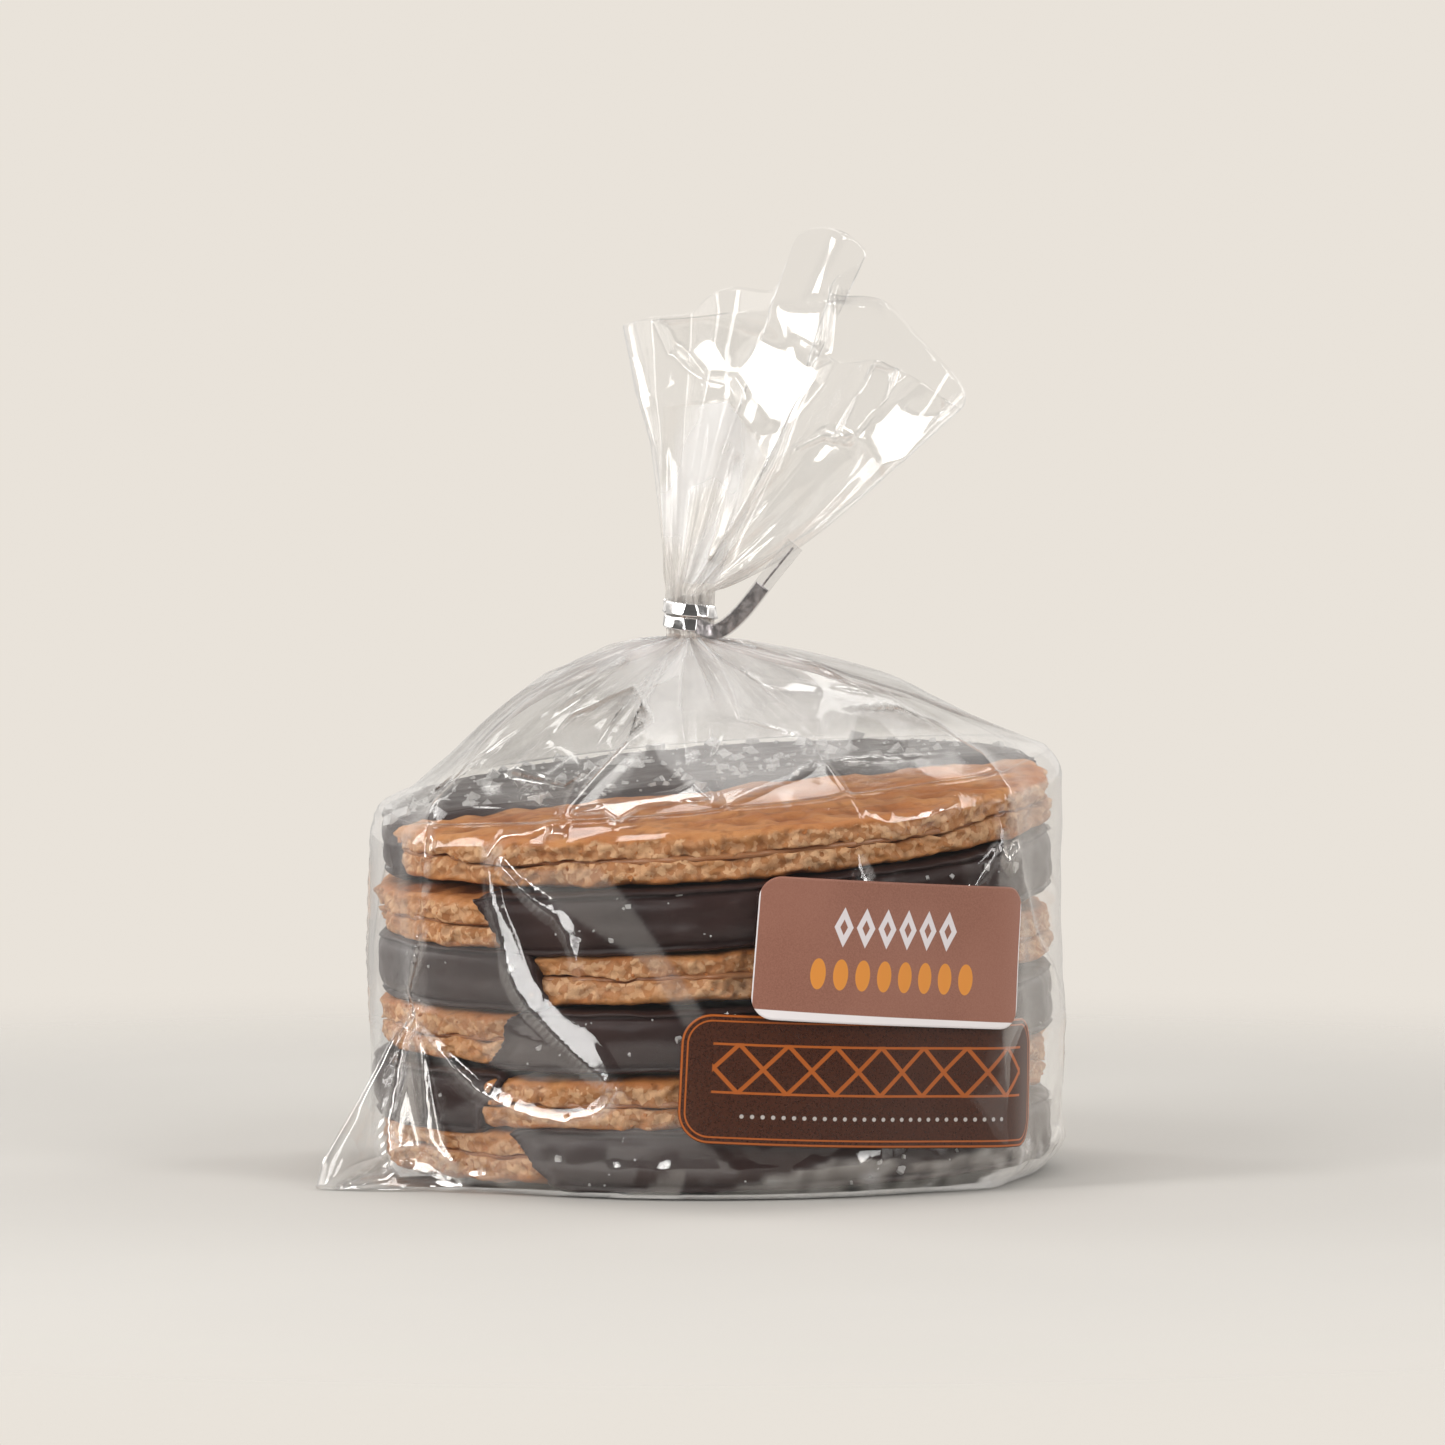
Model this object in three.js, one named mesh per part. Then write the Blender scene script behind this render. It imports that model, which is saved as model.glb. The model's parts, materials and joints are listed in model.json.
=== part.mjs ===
// A clear film bag that holds a stack of six half-dipped syrup waffles. The bag is gathered at the neck
// by a wound twist tie and fans out above it. The bag is one closed form out to its film, hollow in the
// open fan; a plain paper label and a printed plaque lie on its front. Millimetres, +Z up, front towards -Y.
import * as THREE from "three";

const degree = Math.PI / 180;
const turn = 2 * Math.PI;

// Stack inside the bag
const waffleCount = 6;
const stackHeight = 55;

// Film round the stack
const sideRadius = 51.2;
const cornerAngles = [39, 141, 219, 321].map((a) => a * degree);
const cornerPull = 3.2;
const cornerWidth = 9 * degree;
const rimRelief = 0.55;
const shoulderMean = 57;
const shoulderRise = 5;
const baseRound = 6;
const baseInset = 4.2;
const shoulderRound = 5;
const shoulderInset = 2.8;

// Ear, the bag's front-left bottom corner pulled out flat on the ground
const ear = { angle: 210 * degree, reach: 17.5, height: 25, width: 8 * degree };

// Gathered neck
const neckX = -3.5;
const neckRadius = 3;
const neckLow = 78.2;
const neckHigh = 85;
const shoulderBulge = 2.4;
const pleatCount = 18;
const pleatDepth = 1.5;
const pleatSkew = 1.3;
const cornerSpread = 1.4;

// Fan above the tie: points of its rim, anticlockwise from the left corner as seen from above
const fanRim = [
  [-12.8, 0, 124],
  [-9, -8, 125.2],
  [-1, -8.2, 125.6],
  [6, -11.5, 126.2],
  [11.5, -8, 123.5],
  [18, -11, 119],
  [24, -6.5, 119],
  [31, -8, 115.5],
  [36, -3.5, 112],
  [36.5, 2.5, 115],
  [31, 6.5, 121.5],
  [25, 5, 127.6],
  [17.5, 4.5, 128.6],
  [18.5, 8.5, 131],
  [22.5, 9.5, 134.4],
  [18.5, 10, 137.8],
  [12.6, 9.5, 137.4],
  [9, 8, 129.5],
  [2.5, 11.5, 129.6],
  [-3, 7.8, 126],
  [-9.5, 7.5, 125],
];
const fanWall = 0.9;
const fanFloor = 0.16;
const lobeDrop = 14;
const lobeSpread = 42 * degree;

// Twist tie: a flat strip wound down round the neck, with one free tail that leaves it at the front
const tieGap = 0.3;
const strip = { height: 1.8, thickness: 0.5, tailHeight: 1.5 };
const tieTurns = 1.65;
const tiePitch = 2.15;
const tieTop = 83.6;
const tieEnd = -75 * degree;
const tailRoute = [
  [0.3, -4.2, 79.2],
  [3.8, -5.2, 81.8],
  [8.2, -6.1, 87.4],
  [11.9, -6.8, 92],
];

// Paper label and printed plaque, wrapped on the front of the bag
const label = { angle: 299.6 * degree, z: 35.1, width: 41.3, height: 20.5, round: 3.2, tilt: -4.4 * degree };
const plaque = { angle: 297.4 * degree, z: 16.6, width: 58.5, height: 18.6, round: 4.5, tilt: -2.8 * degree };
const skinThickness = 0.35;
const skinGap = 0.55;

// Fineness of the faceted forms
const around = 90;
const baseSteps = [0, 0.018, 0.055];
const wallRings = 18;
const wallSpan = [0.11, 0.93];
const topSteps = [0.965, 1];
const groundRing = 0.55;
const shoulderRings = 12;
const fanRings = 9;
const coilSteps = 40;
const tailSteps = 18;
const skinColumns = 22;
const skinRows = 10;

function bump(angle, centre, width) {
  const off = Math.atan2(Math.sin(angle - centre), Math.cos(angle - centre));
  return Math.exp(-((off / width) ** 2));
}

function shoulderHeight(angle) {
  return shoulderMean + shoulderRise * Math.cos(angle);
}

// How far the film stands from the stack's axis at an angle and a height
function wallRadius(angle, z) {
  const top = shoulderHeight(angle);
  const corner = cornerAngles.reduce((sum, a) => sum + bump(angle, a, cornerWidth), 0);
  let radius = sideRadius + cornerPull * corner;
  const pitch = (stackHeight + (z / top) * shoulderRise * Math.cos(angle)) / waffleCount;
  radius += rimRelief * (1 - corner) * Math.cos((turn * (z - pitch / 2)) / pitch);
  radius += ear.reach * Math.max(0, 1 - z / ear.height) * bump(angle, ear.angle, ear.width);
  radius -= baseInset * Math.max(0, 1 - z / baseRound) ** 2;
  radius -= shoulderInset * Math.max(0, 1 - (top - z) / shoulderRound) ** 2;
  return radius;
}

function wallPoint(angle, z) {
  const radius = wallRadius(angle, z);
  return new THREE.Vector3(radius * Math.cos(angle), radius * Math.sin(angle), z);
}

function neckPoint(angle, z, radius = neckRadius) {
  return new THREE.Vector3(neckX + radius * Math.cos(angle), radius * Math.sin(angle), z);
}

// Film between the stack's top edge and the neck, share 0 to 1, gathered in pleats
function shoulderPoint(angle, share) {
  const point = wallPoint(angle, shoulderHeight(angle)).lerp(neckPoint(angle, neckLow), share);
  const corner = cornerAngles.reduce((sum, a) => sum + bump(angle, a, cornerSpread * cornerWidth), 0);
  const swell = Math.sin(Math.PI * share);
  const wave = Math.cos(pleatCount * angle + pleatSkew * Math.sin(3 * angle));
  point.z += shoulderBulge * swell * (0.4 + 0.9 * corner) + pleatDepth * swell * share * wave;
  return point;
}

const rimCurve = new THREE.CatmullRomCurve3(
  fanRim.map((p) => new THREE.Vector3(...p)),
  true,
  "centripetal",
);
const rimCentre = new THREE.Vector3(11, 0, 0);

// The fan's film at an angle, share 0 at the neck to 1 at the rim; inset moves it towards the axis
function fanPoint(angle, share, inset = 0) {
  const rim = rimCurve.getPoint((((angle / turn - 0.5) % 1) + 1) % 1);
  const foot = neckPoint(angle, neckHigh);
  const control = foot.clone().lerp(rim, 0.5);
  control.z -= lobeDrop * bump(angle, 0, lobeSpread);
  const point = foot
    .multiplyScalar((1 - share) ** 2)
    .addScaledVector(control, 2 * share * (1 - share))
    .addScaledVector(rim, share ** 2);
  const axis = new THREE.Vector3(neckX, 0, 0).lerp(rimCentre, share).setZ(point.z);
  const out = axis.sub(point);
  return point.addScaledVector(out.clone().normalize(), Math.min(inset, 0.7 * out.length()));
}

function ring(pointAt) {
  return Array.from({ length: around }, (_, i) => pointAt((i / around) * turn));
}

// A closed surface through rings of points, shut by a point at each end
function loft(rings, start, end) {
  const points = [start, ...rings.flat(), end];
  const faces = [];
  const at = (ringIndex, i) => 1 + ringIndex * around + (i % around);
  for (let i = 0; i < around; i++) {
    faces.push([0, at(0, i + 1), at(0, i)]);
    for (let k = 0; k + 1 < rings.length; k++) {
      faces.push([at(k, i), at(k, i + 1), at(k + 1, i)]);
      faces.push([at(k, i + 1), at(k + 1, i + 1), at(k + 1, i)]);
    }
    faces.push([at(rings.length - 1, i), at(rings.length - 1, i + 1), points.length - 1]);
  }
  return solid(points, faces);
}

function solid(points, faces) {
  const geometry = new THREE.BufferGeometry().setFromPoints(points);
  geometry.setIndex(faces.flat());
  const flat = geometry.toNonIndexed();
  flat.computeVertexNormals();
  return flat;
}

// A strip of constant section swept along a line: side and out give the section's axes at each step
function sweptStrip(steps) {
  const points = steps.flatMap(({ centre, side, out, width, thickness }) =>
    [[-1, -1], [1, -1], [1, 1], [-1, 1]].map(([a, b]) =>
      centre
        .clone()
        .addScaledVector(side, (a * width) / 2)
        .addScaledVector(out, (b * thickness) / 2),
    ),
  );
  const faces = [[0, 1, 2], [0, 2, 3]];
  const last = 4 * (steps.length - 1);
  for (let k = 0; k + 1 < steps.length; k++) {
    for (let j = 0; j < 4; j++) {
      const a = 4 * k + j;
      const b = 4 * k + ((j + 1) % 4);
      faces.push([a, a + 4, b], [b, a + 4, b + 4]);
    }
  }
  faces.push([last, last + 2, last + 1], [last, last + 3, last + 2]);
  return solid(points, faces);
}

function bagSolid() {
  const wallSteps = Array.from({ length: wallRings + 1 }, (_, k) =>
    THREE.MathUtils.lerp(...wallSpan, k / wallRings),
  );
  const rings = [
    ring((a) => wallPoint(a, 0).multiplyScalar(groundRing)),
    ...[...baseSteps, ...wallSteps, ...topSteps].map((w) => ring((a) => wallPoint(a, w * shoulderHeight(a)))),
  ];
  for (let k = 1; k <= shoulderRings; k++) {
    rings.push(ring((a) => shoulderPoint(a, k / shoulderRings)));
  }
  rings.push(ring((a) => neckPoint(a, neckHigh)));
  for (let k = 1; k <= fanRings; k++) {
    rings.push(ring((a) => fanPoint(a, k / fanRings)));
  }
  for (let k = fanRings; k >= 0; k--) {
    const share = THREE.MathUtils.lerp(fanFloor, 1, k / fanRings);
    rings.push(ring((a) => fanPoint(a, share, fanWall)));
  }
  const ground = new THREE.Vector3(0, 0, 0);
  const inside = rings.at(-1);
  const cupFloor = inside.reduce((sum, p) => sum.add(p), new THREE.Vector3()).divideScalar(around);
  return loft(rings, ground, cupFloor);
}

function tieSolid() {
  const radius = neckRadius + tieGap + strip.thickness / 2;
  const coil = Array.from({ length: coilSteps + 1 }, (_, k) => {
    const turns = (tieTurns * k) / coilSteps;
    return neckPoint(tieEnd + (turns - tieTurns) * turn, tieTop - tiePitch * turns, radius);
  });
  const route = tailRoute.map((p) => new THREE.Vector3(...p));
  const tail = new THREE.CatmullRomCurve3([coil.at(-1), ...route]).getPoints(tailSteps);
  const line = [...coil, ...tail.slice(1)];
  return sweptStrip(
    line.map((centre, k) => {
      const before = line[Math.max(k - 1, 0)];
      const after = line[Math.min(k + 1, line.length - 1)];
      const along = after.clone().sub(before).normalize();
      const tailShare = Math.max(0, (k - coilSteps) / tailSteps);
      const out = line[Math.min(k, coilSteps)].clone().sub(new THREE.Vector3(neckX, 0, 0)).setZ(0);
      out.normalize().lerp(new THREE.Vector3(0, -1, 0), tailShare);
      const side = out.cross(along).normalize();
      const width = THREE.MathUtils.lerp(strip.height, strip.tailHeight, tailShare);
      return { centre, side, out: side.clone().cross(along), width, thickness: strip.thickness };
    }),
  );
}

// A thin plate with round corners, wrapped on the bag's front at a height above its film
function skinSolid({ angle, z, width, height, round, tilt }, lift) {
  const halfHeight = (u) => {
    const over = Math.max(0, Math.abs(u) - (width / 2 - round));
    return height / 2 - round + Math.sqrt(Math.max(0, round ** 2 - over ** 2));
  };
  const place = (u, v, off) => {
    const along = u * Math.cos(tilt) - v * Math.sin(tilt);
    const up = z + u * Math.sin(tilt) + v * Math.cos(tilt);
    const turned = angle + along / sideRadius;
    const radius = wallRadius(turned, up) + off;
    return new THREE.Vector3(radius * Math.cos(turned), radius * Math.sin(turned), up);
  };
  const points = [];
  for (const off of [lift, lift + skinThickness]) {
    for (let i = 0; i <= skinColumns; i++) {
      const u = (width / 2) * -Math.cos((Math.PI * i) / skinColumns);
      for (let j = 0; j <= skinRows; j++) {
        points.push(place(u, halfHeight(u) * ((2 * j) / skinRows - 1), off));
      }
    }
  }
  const at = (layer, i, j) => (layer * (skinColumns + 1) + i) * (skinRows + 1) + j;
  const faces = [];
  const quad = (a, b, c, d) => faces.push([a, b, d], [b, c, d]);
  for (let i = 0; i < skinColumns; i++) {
    for (let j = 0; j < skinRows; j++) {
      quad(at(0, i, j), at(0, i, j + 1), at(0, i + 1, j + 1), at(0, i + 1, j));
      quad(at(1, i, j), at(1, i + 1, j), at(1, i + 1, j + 1), at(1, i, j + 1));
    }
    quad(at(0, i, 0), at(0, i + 1, 0), at(1, i + 1, 0), at(1, i, 0));
    quad(at(0, i, skinRows), at(1, i, skinRows), at(1, i + 1, skinRows), at(0, i + 1, skinRows));
  }
  for (let j = 0; j < skinRows; j++) {
    quad(at(0, 0, j), at(1, 0, j), at(1, 0, j + 1), at(0, 0, j + 1));
    quad(at(0, skinColumns, j), at(0, skinColumns, j + 1), at(1, skinColumns, j + 1), at(1, skinColumns, j));
  }
  return solid(points, faces);
}

function meshOf(name, geometry, material) {
  const mesh = new THREE.Mesh(geometry, new THREE.MeshStandardMaterial(material));
  mesh.name = name;
  return mesh;
}

const group = new THREE.Group();
group.add(
  meshOf("bag", bagSolid(), {
    color: 0x6b5348,
    roughness: 0.2,
    metalness: 0,
    transparent: true,
    opacity: 0.5,
  }),
  meshOf("tie", tieSolid(), { color: 0xc9cacc, roughness: 0.15, metalness: 1 }),
  meshOf("label", skinSolid(label, 2 * skinGap + skinThickness), {
    color: 0x9c6a58,
    roughness: 0.6,
    metalness: 0,
  }),
  meshOf("plaque", skinSolid(plaque, skinGap), { color: 0x6b3d28, roughness: 0.4, metalness: 0 }),
);

// The origin is under the middle of the whole, on the ground
const middle = new THREE.Box3().setFromObject(group).getCenter(new THREE.Vector3());
group.position.set(-middle.x, -middle.y, 0);

export default group;
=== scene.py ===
import json
import math
import bpy
import numpy as np
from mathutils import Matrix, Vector

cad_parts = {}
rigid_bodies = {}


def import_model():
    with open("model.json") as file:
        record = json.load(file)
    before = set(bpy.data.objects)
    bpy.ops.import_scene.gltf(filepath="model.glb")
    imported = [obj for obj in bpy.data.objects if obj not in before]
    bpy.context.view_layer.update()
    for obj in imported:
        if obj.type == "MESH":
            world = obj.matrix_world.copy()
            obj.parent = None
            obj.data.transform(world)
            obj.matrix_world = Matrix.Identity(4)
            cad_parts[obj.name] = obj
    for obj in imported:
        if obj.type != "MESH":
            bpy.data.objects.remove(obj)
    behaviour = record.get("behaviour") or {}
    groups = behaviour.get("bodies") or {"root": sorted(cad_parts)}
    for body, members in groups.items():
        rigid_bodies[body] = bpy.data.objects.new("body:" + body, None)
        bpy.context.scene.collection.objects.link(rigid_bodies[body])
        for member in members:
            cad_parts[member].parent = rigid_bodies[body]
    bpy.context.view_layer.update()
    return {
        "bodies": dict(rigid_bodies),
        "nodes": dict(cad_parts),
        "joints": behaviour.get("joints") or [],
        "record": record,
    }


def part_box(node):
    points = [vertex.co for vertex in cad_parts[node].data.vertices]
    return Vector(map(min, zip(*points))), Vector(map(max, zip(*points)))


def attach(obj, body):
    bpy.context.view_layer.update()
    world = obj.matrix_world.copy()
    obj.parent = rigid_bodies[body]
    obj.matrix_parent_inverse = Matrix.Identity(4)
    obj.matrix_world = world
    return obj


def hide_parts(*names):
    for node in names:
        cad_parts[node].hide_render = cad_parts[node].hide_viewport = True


# A tied clear bag with six syrup waffles, each half dipped in dark chocolate.
# Shapes are worked out in millimetres from the stack's axis at ground level, front towards -Y.

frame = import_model()

mm = 0.001
degree = math.pi / 180
turn = 2 * math.pi
_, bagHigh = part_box("bag")
filmReach = (51.75, 51.718)  # from the stack's axis to the bag's right and back ends
stackAxis = np.array([bagHigh.x / mm - filmReach[0], bagHigh.y / mm - filmReach[1], 0.0])


# noise and facets, worked out for whole arrays of points

def hashed(ix, iy, iz, seed):
    h = (ix * 374761393 + iy * 668265263 + iz * 1440662683 + seed * 974634777) & 0xFFFFFFFF
    h = ((h ^ (h >> 13)) * 1274126177) & 0xFFFFFFFF
    return ((h ^ (h >> 16)) & 0xFFFFFF) / 0xFFFFFF


def softNoise(points, size, seed=0):  # smooth, from -1 to 1
    q = np.asarray(points, float) / size + 97.0
    cell = np.floor(q).astype(np.int64)
    f = q - cell
    f = f * f * (3 - 2 * f)
    total = 0
    for dx in (0, 1):
        for dy in (0, 1):
            for dz in (0, 1):
                step = np.array([dx, dy, dz])
                weight = np.prod(np.where(step, f, 1 - f), axis=-1)
                total = total + weight * hashed(*np.moveaxis(cell + step, -1, 0), seed)
    return 2 * total - 1


def nearestSeed(points, size, seed=0):  # squared distance to the nearest scattered seed, in cells
    q = np.asarray(points, float) / size + 97.0
    cell = np.floor(q).astype(np.int64)
    best = np.full(q.shape[:-1], 9.0)
    for dx in (-1, 0, 1):
        for dy in (-1, 0, 1):
            for dz in (-1, 0, 1):
                at = cell + np.array([dx, dy, dz])
                parts = np.moveaxis(at, -1, 0)
                jitter = np.stack([hashed(*parts, seed + k) for k in range(3)], -1)
                best = np.minimum(best, ((at + jitter - q) ** 2).sum(-1))
    return best


def facets(points, size, seed=0):  # flat facets that meet in sharp creases, up and down
    return nearestSeed(points, size, seed) - nearestSeed(points, size, seed + 31)


def smoothStep(low, high, value):
    t = np.clip((value - low) / (high - low), 0, 1)
    return t * t * (3 - 2 * t)


def zigzag(phase):  # a triangle wave with slightly soft corners
    return np.arcsin(0.985 * np.sin(phase)) * 2 / math.pi


def bump(angle, centre, width):
    off = np.arctan2(np.sin(angle - centre), np.cos(angle - centre))
    return np.exp(-((off / width) ** 2))


# meshes from arrays

def makeMesh(name, points, faces, material, marks=None, uv=None):
    mesh = bpy.data.meshes.new(name)
    mesh.vertices.add(len(points))
    mesh.vertices.foreach_set("co", ((points + stackAxis) * mm).astype(np.float32).ravel())
    corners = np.concatenate([f.ravel() for f in faces]).astype(np.int32)
    sizes = np.concatenate([np.full(len(f), f.shape[1]) for f in faces])
    mesh.loops.add(len(corners))
    mesh.loops.foreach_set("vertex_index", corners)
    mesh.polygons.add(len(sizes))
    mesh.polygons.foreach_set("loop_start", (np.cumsum(sizes) - sizes).astype(np.int32))
    mesh.polygons.foreach_set("use_smooth", np.ones(len(sizes), bool))
    for key, values in (marks or {}).items():
        layer = mesh.attributes.new(key, "FLOAT", "POINT")
        layer.data.foreach_set("value", np.asarray(values, np.float32).ravel())
    if uv is not None:
        layer = mesh.uv_layers.new(name="print")
        layer.data.foreach_set("uv", uv[corners].astype(np.float32).ravel())
    mesh.update(calc_edges=True)
    mesh.validate()
    mesh.materials.append(material)
    thing = bpy.data.objects.new(name, mesh)
    bpy.context.scene.collection.objects.link(thing)
    return thing


def ringFaces(count, around):  # quads between closed rings that run anticlockwise, bottom to top
    k = np.arange(count - 1)[:, None] * around
    i = np.arange(around)[None, :]
    j = (i + 1) % around
    return np.stack([k + i, k + j, k + around + j, k + around + i], -1).reshape(-1, 4)


def closeRings(rings, shutLow=True, shutHigh=True):  # rings (count, around, 3), shut by middle points
    count, around = rings.shape[:2]
    points, faces = [rings.reshape(-1, 3)], [ringFaces(count, around)]
    i = np.arange(around)
    j = (i + 1) % around
    top = (count - 1) * around
    if shutLow:
        faces.append(np.stack([np.full(around, count * around), j, i], -1))
        points.append(rings[0].mean(0)[None])
    if shutHigh:
        faces.append(np.stack([np.full(around, count * around + shutLow), top + i, top + j], -1))
        points.append(rings[-1].mean(0)[None])
    return np.concatenate(points), faces


def gridNormals(p):  # outward normals of rings (count, around, 3)
    across = np.roll(p, -1, 1) - np.roll(p, 1, 1)
    along = np.gradient(p, axis=0)
    n = np.cross(across, along)
    return n / np.maximum(np.linalg.norm(n, axis=-1, keepdims=True), 1e-9)


def evaluated(thing, name):  # the plain mesh that a piece's modifiers make
    bpy.context.view_layer.update()
    graph = bpy.context.evaluated_depsgraph_get()
    mesh = bpy.data.meshes.new_from_object(thing.evaluated_get(graph))
    mesh.name = name
    thing.modifiers.clear()
    thing.data = mesh
    return thing


def addPiece(thing, slot, *replaced):
    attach(thing, "root")
    if replaced:
        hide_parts(*replaced)
    return thing


# node trees

class Nodes:  # adds nodes to one tree
    def __init__(self, tree):
        self.tree = tree
        tree.nodes.clear()

    def add(self, kind, settings=None, inputs=None):
        node = self.tree.nodes.new(kind)
        for key, value in (settings or {}).items():
            if key == "stops":
                while len(node.color_ramp.elements) < len(value):
                    node.color_ramp.elements.new(0.5)
                for element, (place, colour) in zip(node.color_ramp.elements, value):
                    element.position = place
                    element.color = (*colour, 1)
            else:
                setattr(node, key, value)
        for key, value in (inputs or {}).items():
            if isinstance(value, Value):
                self.tree.links.new(value.socket, node.inputs[key])
            elif value is not None:
                node.inputs[key].default_value = value
        return node

    def value(self, node, output=0):
        return Value(self, node.outputs[output])


class Value:  # wraps a socket, so that sums on it add Math nodes
    def __init__(self, nodes, socket):
        self.nodes = nodes
        self.socket = socket

    def maths(self, operation, *others, clamp=False):
        settings = {"operation": operation, "use_clamp": clamp}
        node = self.nodes.add("ShaderNodeMath", settings, dict(enumerate((self, *others))))
        return self.nodes.value(node)

    def __add__(self, other):
        return self.maths("ADD", other)

    __radd__ = __add__

    def __sub__(self, other):
        return self.maths("SUBTRACT", other)

    def __rsub__(self, other):
        return (self * -1) + other

    def __mul__(self, other):
        return self.maths("MULTIPLY", other)

    __rmul__ = __mul__

    def __truediv__(self, other):
        return self.maths("DIVIDE", other)

    def __pow__(self, other):
        return self.maths("POWER", other)

    def __abs__(self):
        return self.maths("ABSOLUTE")

    def between(self, low, high):  # 0 below low, 1 above high
        settings = {"interpolation_type": "SMOOTHSTEP"}
        inputs = {"Value": self, "From Min": low, "From Max": high}
        return self.nodes.value(self.nodes.add("ShaderNodeMapRange", settings, inputs))

    def parts(self):  # the three numbers of a vector
        node = self.nodes.add("ShaderNodeSeparateXYZ", None, {0: self})
        return [self.nodes.value(node, k) for k in range(3)]


class Finish(Nodes):  # a material with its Principled shader
    def __init__(self, name, **constants):
        self.material = bpy.data.materials.new(name)
        self.material.use_nodes = True
        super().__init__(self.material.node_tree)
        inputs = {key.replace("_", " "): value for key, value in constants.items()}
        self.surface = self.add("ShaderNodeBsdfPrincipled", None, inputs)
        self.output = self.add("ShaderNodeOutputMaterial")
        self.tree.links.new(self.surface.outputs[0], self.output.inputs["Surface"])

    def feed(self, **links):  # names of the shader's sockets, with _ for a space
        for key, value in links.items():
            self.tree.links.new(value.socket, self.surface.inputs[key.replace("_", " ")])

    def place(self):
        return self.value(self.add("ShaderNodeTexCoord"), "Object")

    def noise(self, size, detail=3.0, rough=0.55):  # size of its features in millimetres
        inputs = {"Vector": self.place(), "Scale": 1 / (size * mm), "Detail": detail, "Roughness": rough}
        return self.value(self.add("ShaderNodeTexNoise", None, inputs), "Fac")

    def mark(self, name):
        return self.value(self.add("ShaderNodeAttribute", {"attribute_name": name}), "Fac")

    def blend(self, factor, first, second, kind="MIX"):  # colours, as tuples or values
        node = self.add("ShaderNodeMix", {"data_type": "RGBA", "blend_type": kind})
        for socket, value in zip((0, 6, 7), (factor, first, second)):
            if isinstance(value, Value):
                self.tree.links.new(value.socket, node.inputs[socket])
            else:
                node.inputs[socket].default_value = value if socket == 0 else (*value, 1)
        return self.value(node, 2)

    def relief(self, height, strength, distance):
        inputs = {"Height": height, "Strength": strength, "Distance": distance * mm}
        return self.value(self.add("ShaderNodeBump", None, inputs))


# camera: low, from the front, with a long lens

viewpoint = {
    "target": (4.3, 0.74, 65.6),  # what the middle of the picture shows
    "distance": 1500,
    "pitch": 3.3,
    "frameWidth": 212.5,  # what the picture's width spans at the target
    "sensor": 36,
}


def frontView(p):  # places across and up in the front view, the unit way to the camera and its distance
    v = viewpoint
    pitch = v["pitch"] * degree
    back = np.array([0, -math.cos(pitch), math.sin(pitch)])
    aim = np.array(v["target"]) - stackAxis
    toEye = aim + back * v["distance"] - p
    scale = v["distance"] / (toEye @ back)
    across = (p[..., 0] - aim[0]) * scale + aim[0]
    up = ((p - aim) @ np.array([0, math.sin(pitch), math.cos(pitch)])) * scale + aim[2]
    away = np.linalg.norm(toEye, axis=-1)
    return across, up, toEye / away[..., None], away


def makeCamera(v):
    camera = bpy.data.objects.new("camera", bpy.data.cameras.new("camera"))
    bpy.context.scene.collection.objects.link(camera)
    camera.data.sensor_width = v["sensor"]
    camera.data.lens = v["sensor"] * v["distance"] / v["frameWidth"]
    pitch = v["pitch"] * degree
    x, y, z = v["target"]
    back = v["distance"] * math.cos(pitch)
    camera.location = (x * mm, (y - back) * mm, (z + v["distance"] * math.sin(pitch)) * mm)
    camera.rotation_euler = (math.pi / 2 - pitch, 0, 0)
    camera.data.clip_start = 0.05
    camera.data.clip_end = 30
    bpy.context.scene.camera = camera


makeCamera(viewpoint)


# lights: tall softboxes left and right, one overhead behind, dim ones at the back

lights = {
    "left": {"azimuth": -54, "height": 31, "distance": 900, "size": (210, 800), "radiance": 8.4},
    "right": {"azimuth": 49, "height": 33, "distance": 900, "size": (210, 720), "radiance": 7.0},
    "hook": {"azimuth": -26, "height": 15.5, "distance": 900, "size": (230, 310), "radiance": 8},
    "top": {"azimuth": 170, "height": 79, "distance": 800, "size": (440, 380), "radiance": 4.4},
    "backLeft": {"azimuth": -128, "height": 28, "distance": 1000, "size": (240, 700), "radiance": 4},
    "backRight": {"azimuth": 128, "height": 28, "distance": 1000, "size": (240, 700), "radiance": 4},
}
lightColour = (1.0, 0.985, 0.965)


def lightWay(name):  # the direction from the bag to a light
    return wayTo(lights[name]["azimuth"], lights[name]["height"])


def wayTo(azimuth, height):
    azimuth, height = azimuth * degree, height * degree
    level = math.cos(height)
    return np.array([math.sin(azimuth) * level, -math.cos(azimuth) * level, math.sin(height)])


def lightWays(name):  # directions to points spread over a light, a little inside its edges
    box, away = lights[name], lightWay(name)
    side = np.cross([0, 0, 1.0], away)
    side /= np.linalg.norm(side)
    up = np.cross(away, side)
    ways = []
    inside = np.linspace(-0.34, 0.34, 7)
    for a in inside:
        for b in inside:
            way = away * box["distance"] + side * a * box["size"][0] + up * b * box["size"][1]
            ways.append(way / np.linalg.norm(way))
    return np.array(ways)


def reflected(stretch):  # the directions that a stretch of film may mirror
    if "toward" in stretch:
        return wayTo(*stretch["toward"])[None]
    return np.concatenate([lightWays(name) for name in stretch["lights"].split()])


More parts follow.
